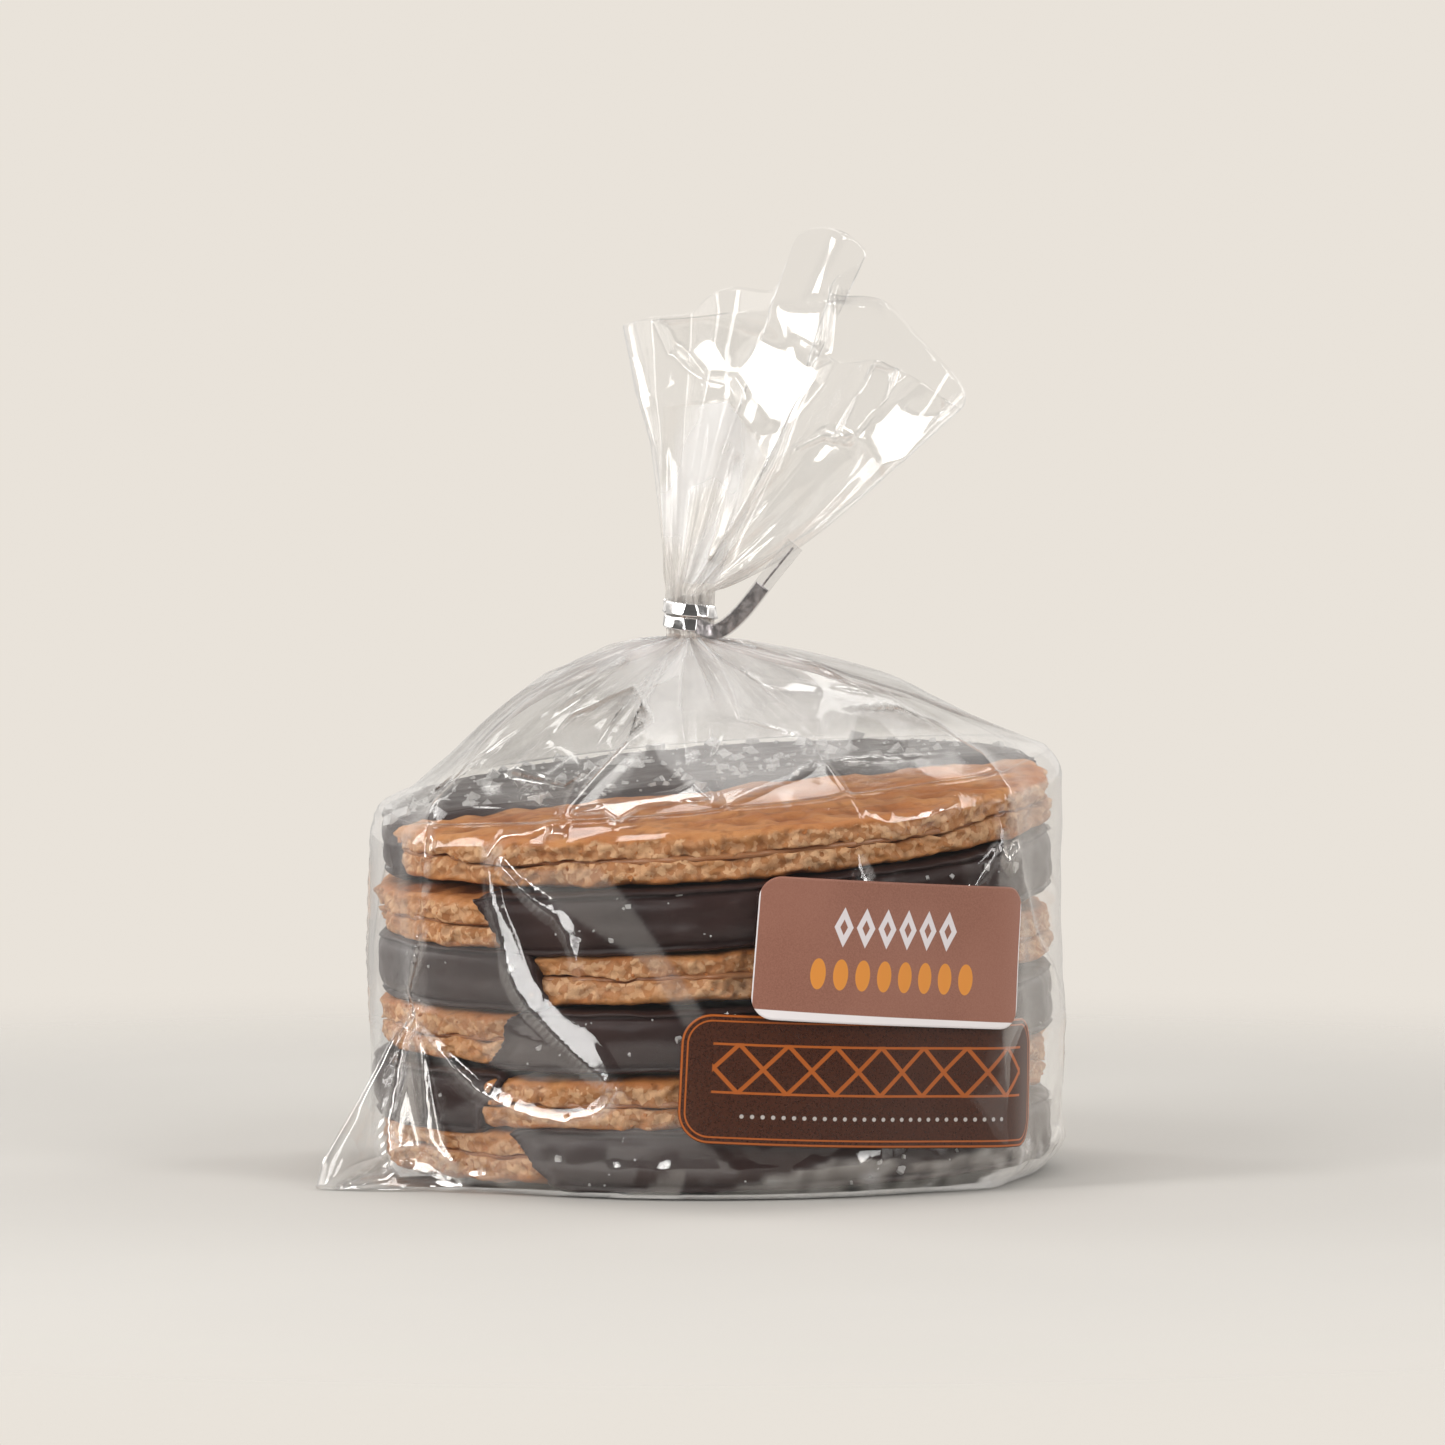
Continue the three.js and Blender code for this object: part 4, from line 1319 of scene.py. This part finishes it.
def makeFilmPiece(name, rings, milkAndPaintedLightMark, smoke, material, shutLow):
    points, faces = closeRings(rings, shutLow, False)
    extra = [0.0] * shutLow
    values = {"crease": creaseMark(rings), "fold": milkAndPaintedLightMark, "smoke": np.broadcast_to(smoke, milkAndPaintedLightMark.shape)}
    marks = {name: np.append(value.ravel(), extra) for name, value in values.items()}
    thing = makeMesh(name, points, faces, material, marks)
    wall = thing.modifiers.new("wall", "SOLIDIFY")
    wall.thickness = film["thickness"] * mm
    wall.offset = -1
    evaluated(thing, name)
    return addPiece(thing, "film", "bag")


filmFinish = filmColours()


def clearOfTopWaffle(p):  # lifts film that would cut into the top waffle
    spec = stack[0]
    turned = placeWaffle(np.eye(3), spec) - placeWaffle(np.zeros((3, 3)), spec)
    at = (p - placeWaffle(np.zeros(3), spec)) @ turned.T
    out = np.hypot(at[..., 0], at[..., 1])
    reach, half, round = film["topClearance"]
    u, v = out - (reach - round), at[..., 2] - (half - round)
    inside = (u < round) & (v < round) & (v > -half)
    corner = np.maximum(np.hypot(u.clip(0), v.clip(0)), 1e-6)
    push = np.where(inside & (u > 0) & (v > 0), (round - corner).clip(0), 0)
    across, up = push * u / corner, push * v / corner
    across = np.where(inside & (u > 0) & (v <= 0), round - u, across)
    up = np.where(inside & (u <= 0), round - v, up)
    ray = at[..., :2] / np.maximum(out, 1e-6)[..., None]
    move = np.concatenate([ray * across[..., None], up[..., None]], -1)
    return p + move @ turned


def makeBody():
    lower = wallRings()
    upper = shoulderRings(lower[-1])
    whole = clearOfTopWaffle(np.concatenate([lower, upper[1:]]))
    whole = creaseLines(whole, wallCreases + shoulderCreases)
    whole, milkAndPaintedLightMark = turnToLight(whole, wallBands + shoulderBands)
    whole, milkAndPaintedLightMark = flatPanels(whole, milkAndPaintedLightMark, wallPanels + shoulderPanels)
    whole = clearOfTopWaffle(whole)
    milkAndPaintedLightMark = paintedLightVeils(whole, milkAndPaintedLightMark, wallVeils + shoulderVeils)
    milkAndPaintedLightMark[:len(lower)] = np.maximum(milkAndPaintedLightMark[:len(lower)], wallFoldShape(filmAngles()[None], lower[..., 2])[1])
    milk, fading = shoulder["milk"]
    split = len(lower)
    share = np.linspace(0, 1, len(upper))[:, None]
    cloud = softNoise(whole[split - 1:], 9, 61)
    milkAndPaintedLightMark[split - 1:] = np.maximum(milkAndPaintedLightMark[split - 1:], milk * share ** fading * (0.85 + 0.35 * cloud))
    # grey veil over the shoulder: partly layered film, partly painted dark reflection of the room
    smoke = np.clip(smoothStep(0, 0.12, share) * (0.45 + 0.35 * cloud), 0, 1)
    whole[..., 2] = np.maximum(whole[..., 2], 0.1)
    makeFilmPiece("film_walls", whole[:split], milkAndPaintedLightMark[:split], 0.0, filmFinish, True)
    makeFilmPiece("film_shoulder", whole[split - 1:], milkAndPaintedLightMark[split - 1:], smoke, filmFinish, False)
    return whole[-1]


neckRing = makeBody()
print("film body made")


# fan of film above the tie

fan = {
    "rim": [(-12.8, 0, 124), (-9, -8, 125.2), (-1, -8.2, 125.6), (6, -11.5, 126.2), (11.5, -8, 123.5),
            (18, -11, 119), (24, -6.5, 119), (31, -8, 115.5), (36, -3.5, 112), (36.5, 2.5, 115),
            (31, 6.5, 121.5), (25, 5, 127.6), (17.5, 4.5, 128.6), (18.5, 8.5, 131), (22.5, 9.5, 134.4),
            (18.5, 10, 137.8), (12.6, 9.5, 137.4), (9, 8, 129.5), (2.5, 11.5, 129.6), (-3, 7.8, 126),
            (-9.5, 7.5, 125)],
    "rings": 86,
    "lobeDrop": 14,
    "lobeSpread": 42,
    "pleats": 13,
    "pleatDepth": 1.5,
    "crumple": (1.7, 22, 0.22, 8),
    "clouds": (0.95, 0.75, 0.3, 1.6),  # how strongly the milky and painted-light marks show, how far that varies, least and most
}


def closedCurve(points, t):  # a centripetal spline through a closed ring of points, t from 0 to 1
    points = np.array(points, float)
    count = len(points)
    k = np.floor(t * count).astype(int) % count
    f = (t * count) % 1.0
    a, b, c, d = (points[(k + j) % count] for j in (-1, 0, 1, 2))

    def gap(p, q):
        return np.maximum(((q - p) ** 2).sum(-1) ** 0.25, 1e-4)[:, None]

    ab, bc, cd = gap(a, b), gap(b, c), gap(c, d)
    t1 = ((b - a) / ab - (c - a) / (ab + bc) + (c - b) / bc) * bc
    t2 = ((c - b) / bc - (d - b) / (bc + cd) + (d - c) / cd) * bc
    f = f[:, None]
    return b + t1 * f + (-3 * b + 3 * c - 2 * t1 - t2) * f ** 2 + (2 * b - 2 * c + t1 + t2) * f ** 3


def fanRings():
    f = film
    angles = filmAngles()
    a = angles[None, :]
    share = np.linspace(0, 1, fan["rings"])[:, None]
    rim = closedCurve(fan["rim"], (angles / turn - 0.5) % 1.0)[None]
    phase = fan["pleats"] * (a + 0.16 * np.sin(2 * a + 2) + 0.08 * np.sin(5 * a + 1.5))
    tight = (1 - share) ** 1.6
    fold = 0.24 * tight * zigzag(phase + math.pi / 2) + 0.07 * tight * zigzag(2 * phase + 2.0)
    squeeze = 1 + 0.28 * zigzag(phase) * tight
    foot = np.stack([f["neckX"] + f["neckRadius"] * squeeze * np.cos(a + fold),
                     f["neckRadius"] * squeeze * np.sin(a + fold), f["neckHigh"] + 0 * fold], -1)
    control = (foot + rim) / 2
    control[..., 2] -= fan["lobeDrop"] * bump(a, 0, fan["lobeSpread"] * degree)
    s = share[..., None]
    p = foot * (1 - s) ** 2 + 2 * control * s * (1 - s) + rim * s ** 2
    n = gridNormals(p)
    depth = fan["pleatDepth"] * (share + 0.02) ** 0.5 * (1 - share) ** 2.6
    push = depth * (zigzag(phase) + 0.4 * zigzag(2 * phase + 1.0))
    big, bigSize, small, smallSize = fan["crumple"]
    push = push + share ** 0.8 * (big * facets(p, bigSize, 41) + small * facets(p, smallSize, 43))
    p = p + n * (push * smoothStep(0, 0.05, share))[..., None]
    return p


fanBands = [
    {"lights": "left hook", "widths": [0.5, 0.7, 0.7, 0.3], "path": [(-12.4, 124.2), (-11.1, 118),
     (-9.6, 111), (-9, 107)]},
    {"lights": "left hook", "widths": [0.3, 0.7, 0.6, 0.3], "path": [(3.5, 104), (2.8, 99), (1, 93.5),
     (-0.5, 90)]},
    {"lights": "left hook", "widths": [0.3, 0.4, 0.3], "path": [(12, 106), (16, 108), (20, 107)]},
]
# the fan's panels are painted milky white: painted highlights
fanPanels = [
    {"lights": "left hook", "limit": 3, "haze": 0.25, "ramp": 1.8, "outline": [(-9.2, 125.3), (-1.5, 126.6),
     (7.9, 123.7), (12.1, 120.7), (17.3, 118.7), (16.2, 115.4), (10.3, 108.2), (7.4, 108.4), (2.2, 115.2),
     (-1.8, 115.6), (-5.6, 119.6), (-6.6, 120)]},
    {"lights": "left hook right", "limit": 3, "haze": 0.25, "ramp": 1.8, "outline": [(25.6, 113.7),
     (31.8, 118.9), (35.2, 115.7), (35.2, 111.3), (29, 102.9), (22.9, 95.1), (23.3, 101.8), (20.8, 107.6)]},
    {"toward": (30, 62), "limit": 3, "outline": [(18, 107.5), (20.5, 107.6), (25.4, 113.9), (26.5, 117.5),
     (23.5, 118)]},
    {"lights": "left hook right", "behind": True, "limit": 2.5, "haze": 0.25, "ramp": 1,
     "outline": [(17.4, 138.2), (19.8, 137.2), (15.9, 130), (15.4, 127), (12.4, 127)]},
    {"lights": "left hook right", "behind": True, "limit": 2.5, "haze": 0.25, "ramp": 1.6,
     "outline": [(8.5, 127.6), (25.4, 128.6), (25, 125.8), (21, 127), (17.5, 126.6), (17, 120),
     (14.5, 119.4), (10.5, 122)]},
]
# the fan's grey core: partly gathered film, partly painted reflection
fanVeils = [
    {"haze": 0.62, "outline": [(-7.5, 112), (-8, 98), (-7, 86), (0.5, 86), (4.5, 95), (8, 104), (6, 108),
     (2, 113)]},
    {"haze": 0.25, "outline": [(8, 104), (4.5, 95), (4, 88), (12, 96), (21, 104), (18, 109)]},
]


def makeFan():
    rings, milkAndPaintedLightMark = turnToLight(fanRings(), fanBands)
    rings, milkAndPaintedLightMark = flatPanels(rings, milkAndPaintedLightMark, fanPanels)
    milkAndPaintedLightMark = paintedLightVeils(rings, milkAndPaintedLightMark, fanVeils)
    cloud = softNoise(rings * [1, 1, 0.35], 2.6, 71) + 0.6 * softNoise(rings, 7, 72)
    usual, vary, least, most = fan["clouds"]
    milkAndPaintedLightMark = milkAndPaintedLightMark * np.clip(usual + vary * cloud, least, most)
    gathered = np.linspace(1, 0, len(rings)) ** 2.6
    milkAndPaintedLightMark = np.maximum(milkAndPaintedLightMark, 0.5 * gathered[:, None])
    collar = np.linspace(neckRing, rings[0], 9)[:-1]
    milkAndPaintedLightMark = np.concatenate([np.full(collar.shape[:2], 0.5), milkAndPaintedLightMark])
    makeFilmPiece("film_fan", np.concatenate([collar, rings]), milkAndPaintedLightMark, 0.0, filmFinish, False)


makeFan()
print("film fan made")


# twist tie: foil strip wound round the neck, and its tail in a clear sleeve

tie = {
    "gap": 0.3,
    "height": 1.9,
    "thickness": 0.5,
    "flats": 13,  # the crushed foil's flat stretches in one turn
    "lean": (0.03, 0.27),  # how far flat stretches lean back, by turns
    "turns": 1.65,
    "pitch": 2.15,
    "top": 83.6,
    "end": -75,
    "steps": 220,
    "tail": [(0.3, -4.2, 79.2), (3.8, -5.2, 81.8), (8.2, -6.1, 87.4), (11.9, -6.8, 92)],
    "tailSteps": 90,
    "foilEnd": 0.7,  # share of the tail where the foil stops
}


def openCurve(points, steps):  # a smooth line through points, evenly in its parameter
    points = np.array(points, float)
    padded = np.concatenate([[2 * points[0] - points[1]], points, [2 * points[-1] - points[-2]]])
    t = np.linspace(0, len(points) - 1, steps)
    k = np.minimum(t.astype(int), len(points) - 2)
    f = (t - k)[:, None]
    a, b, c, d = (padded[k + j] for j in range(4))
    cubic = 3 * b - a - 3 * c + d
    return 0.5 * (2 * b + (c - a) * f + (2 * a - 5 * b + 4 * c - d) * f ** 2 + cubic * f ** 3)


def sweepStrip(line, outs, widths, thickness, roundness=0.32):  # a strip with soft edges along a line
    along = np.gradient(line, axis=0)
    along /= np.linalg.norm(along, axis=1, keepdims=True)
    side = np.cross(outs, along)
    side /= np.linalg.norm(side, axis=1, keepdims=True)
    out = np.cross(along, side)
    corner = np.linspace(0, turn, 16, endpoint=False) + turn / 32
    across = np.sign(np.cos(corner)) * np.abs(np.cos(corner)) ** roundness
    high = np.sign(np.sin(corner)) * np.abs(np.sin(corner)) ** roundness
    widths = np.broadcast_to(widths, len(line))
    rings = (line[:, None] + side[:, None] * (across[None, :, None] * widths[:, None, None] / 2)
             + out[:, None] * (high[None, :, None] * thickness / 2))
    return rings[:, ::-1]


def foilColours():
    f = Finish("foil", Metallic=1.0, Roughness=0.12, Base_Color=(0.86, 0.86, 0.87, 1))
    f.feed(Normal=f.relief(f.noise(1.6, 2), 0.18, 0.12), Roughness=f.noise(0.6, 2) * 0.1 + 0.05,
           Base_Color=f.blend(f.noise(1.4, 2).between(0.5, 0.7), (0.92, 0.92, 0.93), (0.78, 0.78, 0.79)))
    return f.material


def sleeveColours():
    s = Finish("sleeve", Roughness=0.12, Base_Color=(0.55, 0.54, 0.53, 1))
    edge = s.value(s.add("ShaderNodeLayerWeight", None, {"Blend": 0.5}), "Facing")
    colour = s.blend(s.noise(1.5, 2), (0.42, 0.41, 0.40), (0.70, 0.69, 0.67))
    s.feed(Alpha=edge ** 2 * 0.6 + 0.2, Base_Color=colour)
    return s.material


def wireColours():
    w = Finish("tailFoil", Metallic=0.8, Roughness=0.25, Base_Color=(0.16, 0.15, 0.15, 1))
    worn = w.noise(1.0, 3, 0.7).between(0.35, 0.65)
    w.feed(Base_Color=w.blend(worn, (0.05, 0.04, 0.045), (0.40, 0.37, 0.38)),
           Normal=w.relief(w.noise(0.8, 2), 0.4, 0.15))
    return w.material


def makeTie():
    t, f = tie, film
    radius = f["neckRadius"] + t["gap"] + t["thickness"] / 2
    turns = np.linspace(0, t["turns"], t["steps"])
    angle = t["end"] * degree + (turns - t["turns"]) * turn
    flat = turn / t["flats"]
    place = (angle + math.pi / 2) / flat + 0.5
    wobble = radius * (math.cos(flat / 2) / np.cos((place % 1.0 - 0.5) * flat) - 1) + 0.12
    ring = np.stack([np.cos(angle), np.sin(angle), 0 * angle], -1)
    low, high = t["lean"]
    lean = low + (high - low) * (0.5 + 0.5 * np.cos(np.floor(place) * math.pi))
    coil = ring * (radius + wobble)[:, None] + [f["neckX"], 0, 0]
    coil[:, 2] = t["top"] - t["pitch"] * turns
    rings = sweepStrip(coil, ring + lean[:, None] * [0, 0, 1], t["height"], t["thickness"], 0.3)
    crush = 0.06 * softNoise(rings, 1.4, 3)
    rings = rings + (rings - coil[:, None]) * crush[..., None]
    points, faces = closeRings(rings)
    addPiece(makeMesh("tie_coil", points, faces, foilColours()), "foil", "tie")
    line = openCurve([coil[-1], *t["tail"]], t["tailSteps"])
    share = np.linspace(0, 1, len(line))[:, None]
    outs = ring[-1] * (1 - share) + np.array([0.15, -1, 0.1]) * share
    points, faces = closeRings(sweepStrip(line, outs, 2.6, 0.36, 0.3))
    addPiece(makeMesh("tie_sleeve", points, faces, sleeveColours()), "sleeve", "tie")
    cut = int(len(line) * t["foilEnd"])
    points, faces = closeRings(sweepStrip(line[:cut], outs[:cut], 2.2, 0.22, 0.4))
    addPiece(makeMesh("tie_tail_foil", points, faces, wireColours()), "foil", "tie")
    points, faces = closeRings(sweepStrip(line[cut - 2:-2], outs[cut - 2:-2], 0.3, 0.22, 1.0))
    addPiece(makeMesh("tie_tail_wire", points, faces, wireColours()), "foil", "tie")


makeTie()
print("tie made")


# label and printed field, wrapped on the film

label = {"angle": 299.6, "z": 35.1, "width": 41.3, "height": 20.5, "round": 3.2, "tilt": -4.4, "lift": 1.5}
plaque = {"angle": 297.4, "z": 16.6, "width": 58.5, "height": 18.6, "round": 4.5, "tilt": -2.8, "lift": 0.6}


def makeSkin(name, skin, thickness, material, slot, node):
    columns, rows = 120, 60
    u = -np.cos(np.linspace(0, math.pi, columns + 1)) * skin["width"] / 2
    over = np.maximum(0, np.abs(u) - (skin["width"] / 2 - skin["round"]))
    half = skin["height"] / 2 - skin["round"] + np.sqrt(np.maximum(0, skin["round"] ** 2 - over ** 2))
    v = half[:, None] * np.linspace(-1, 1, rows + 1)[None, :]
    u = np.broadcast_to(u[:, None], v.shape)
    c, s = math.cos(skin["tilt"] * degree), math.sin(skin["tilt"] * degree)
    angle = skin["angle"] * degree + (u * c - v * s) / film["radius"]
    z = skin["z"] + u * s + v * c
    flat = np.stack([u, v, 0 * u], -1)
    lift = skin["lift"] + 0.12 * softNoise(flat, 9, 3)
    layers = []
    for off in (0, thickness):
        radius = film["radius"] + cornerShare(angle) * film["cornerPull"] * 0.8 + lift + off
        layers.append(np.stack([radius * np.cos(angle), radius * np.sin(angle), z], -1))
    points = np.concatenate([layer.reshape(-1, 3) for layer in layers])
    uv = np.stack([u / skin["width"] + 0.5, v / skin["height"] + 0.5], -1).reshape(-1, 2)
    uv = np.concatenate([uv, uv])
    count = (columns + 1) * (rows + 1)
    i = np.arange(columns)[:, None] * (rows + 1)
    j = np.arange(rows)[None, :]
    quad = np.stack([i + j, i + j + rows + 1, i + j + rows + 2, i + j + 1], -1).reshape(-1, 4)
    rim = np.concatenate([np.arange(columns + 1) * (rows + 1), columns * (rows + 1) + np.arange(1, rows + 1),
                          np.arange(columns - 1, -1, -1) * (rows + 1) + rows, np.arange(rows - 1, 0, -1)])
    after = np.roll(rim, -1)
    sides = np.stack([rim, after, after + count, rim + count], -1)
    faces = [quad[:, ::-1], quad + count, sides]
    return addPiece(makeMesh(name, points, faces, material, None, uv), slot, node)


def placeOnSkin(finish, skin):  # millimetres across and up from its middle
    u, v = finish.value(finish.add("ShaderNodeUVMap", {"uv_map": "print"})).parts()[:2]
    return (u - 0.5) * skin["width"], (v - 0.5) * skin["height"]


def labelColours():
    f = Finish("labelPaper", Roughness=0.55, Specular_IOR_Level=0.4)
    x, y = placeOnSkin(f, label)
    grain = f.noise(0.22, 2, 0.8)
    base = f.blend(grain.between(0.3, 0.7), (0.252, 0.102, 0.068), (0.315, 0.140, 0.097))
    base = f.blend(f.noise(14, 2).between(0.3, 0.7) * 0.35, base, (0.365, 0.165, 0.118))
    pitch = 3.3  # of the white diamonds, and the orange drops below them
    step = abs((x / pitch).maths("FRACT") - 0.5) * pitch
    rise = abs(y - 3.5)
    diamond = step * 1.05 + rise * 0.52
    white = diamond.between(0.55, 0.63) * (1 - diamond.between(1.45, 1.53)) * (1 - abs(x).between(9.85, 9.9))
    fall = (y + 3.3) * 0.5
    away = (step * step + fall * fall) ** 0.5
    disc = (1 - away.between(1.08, 1.14)) * (1 - abs(x).between(13.15, 13.2))
    colour = f.blend(white, base, (0.74, 0.69, 0.71))
    colour = f.blend(disc, colour, (0.72, 0.275, 0.045))
    bare = 1 - (y + x * 0.012 + label["height"] / 2).between(1.15, 1.25)
    edge = abs(x).between(label["width"] / 2 - 0.22, label["width"] / 2 - 0.12)
    colour = f.blend(bare.maths("MAXIMUM", edge), colour, (0.84, 0.80, 0.81))
    f.feed(Base_Color=colour, Normal=f.relief(grain, 0.08, 0.1))
    return f.material


def plaqueColours():
    f = Finish("filmPrint", Roughness=0.28, Specular_IOR_Level=0.5)
    x, y = placeOnSkin(f, plaque)
    grain = f.noise(0.35, 2, 0.7)
    base = f.blend(grain.between(0.3, 0.7), (0.045, 0.011, 0.0045), (0.076, 0.022, 0.0095))
    orange = (0.42, 0.105, 0.016)
    wide, high = plaque["width"] / 2, plaque["height"] / 2
    corner = plaque["round"]
    overX = (abs(x) - (wide - corner)).maths("MAXIMUM", 0.0)
    overY = (abs(y) - (high - corner)).maths("MAXIMUM", 0.0)
    inset = (corner - (overX * overX + overY * overY) ** 0.5)
    flat = (wide - abs(x)).maths("MINIMUM", high - abs(y))
    inset = inset.maths("MINIMUM", flat)
    lines = (inset.between(0.05, 0.12) * (1 - inset.between(0.34, 0.42))).maths(
        "MAXIMUM", inset.between(0.82, 0.9) * (1 - inset.between(1.06, 1.14)))
    band = 1 - abs(y - 1.6).between(3.6, 3.7)
    within = 1 - abs(x).between(24.6, 24.8)
    slant = abs(((x + (y - 1.6)) / 7.0).maths("FRACT") - 0.5)
    other = abs(((x - (y - 1.6)) / 7.0).maths("FRACT") - 0.5)
    trellis = (1 - slant.between(0.05, 0.07)).maths("MAXIMUM", 1 - other.between(0.05, 0.07))
    frame = abs(abs(y - 1.6) - 3.45)
    trellis = trellis.maths("MAXIMUM", 1 - frame.between(0.14, 0.2)) * band * within
    dots = abs((x / 1.5).maths("FRACT") - 0.5) * 1.5
    away = (dots * dots + (y + 5.2) * (y + 5.2)) ** 0.5
    grey = (1 - away.between(0.26, 0.34)) * (1 - abs(x).between(21.0, 21.1))
    colour = f.blend(lines.maths("MAXIMUM", trellis), base, orange)
    colour = f.blend(grey, colour, (0.50, 0.47, 0.45))
    f.feed(Base_Color=colour, Alpha=lines.maths("MAXIMUM", trellis).maths("MAXIMUM", grey) * 0.14 + 0.84)
    return f.material


makeSkin("label_paper", label, 0.22, labelColours(), "label_paper", "label")
makeSkin("film_print", plaque, 0.12, plaqueColours(), "film_print", "plaque")
print("label and print made")
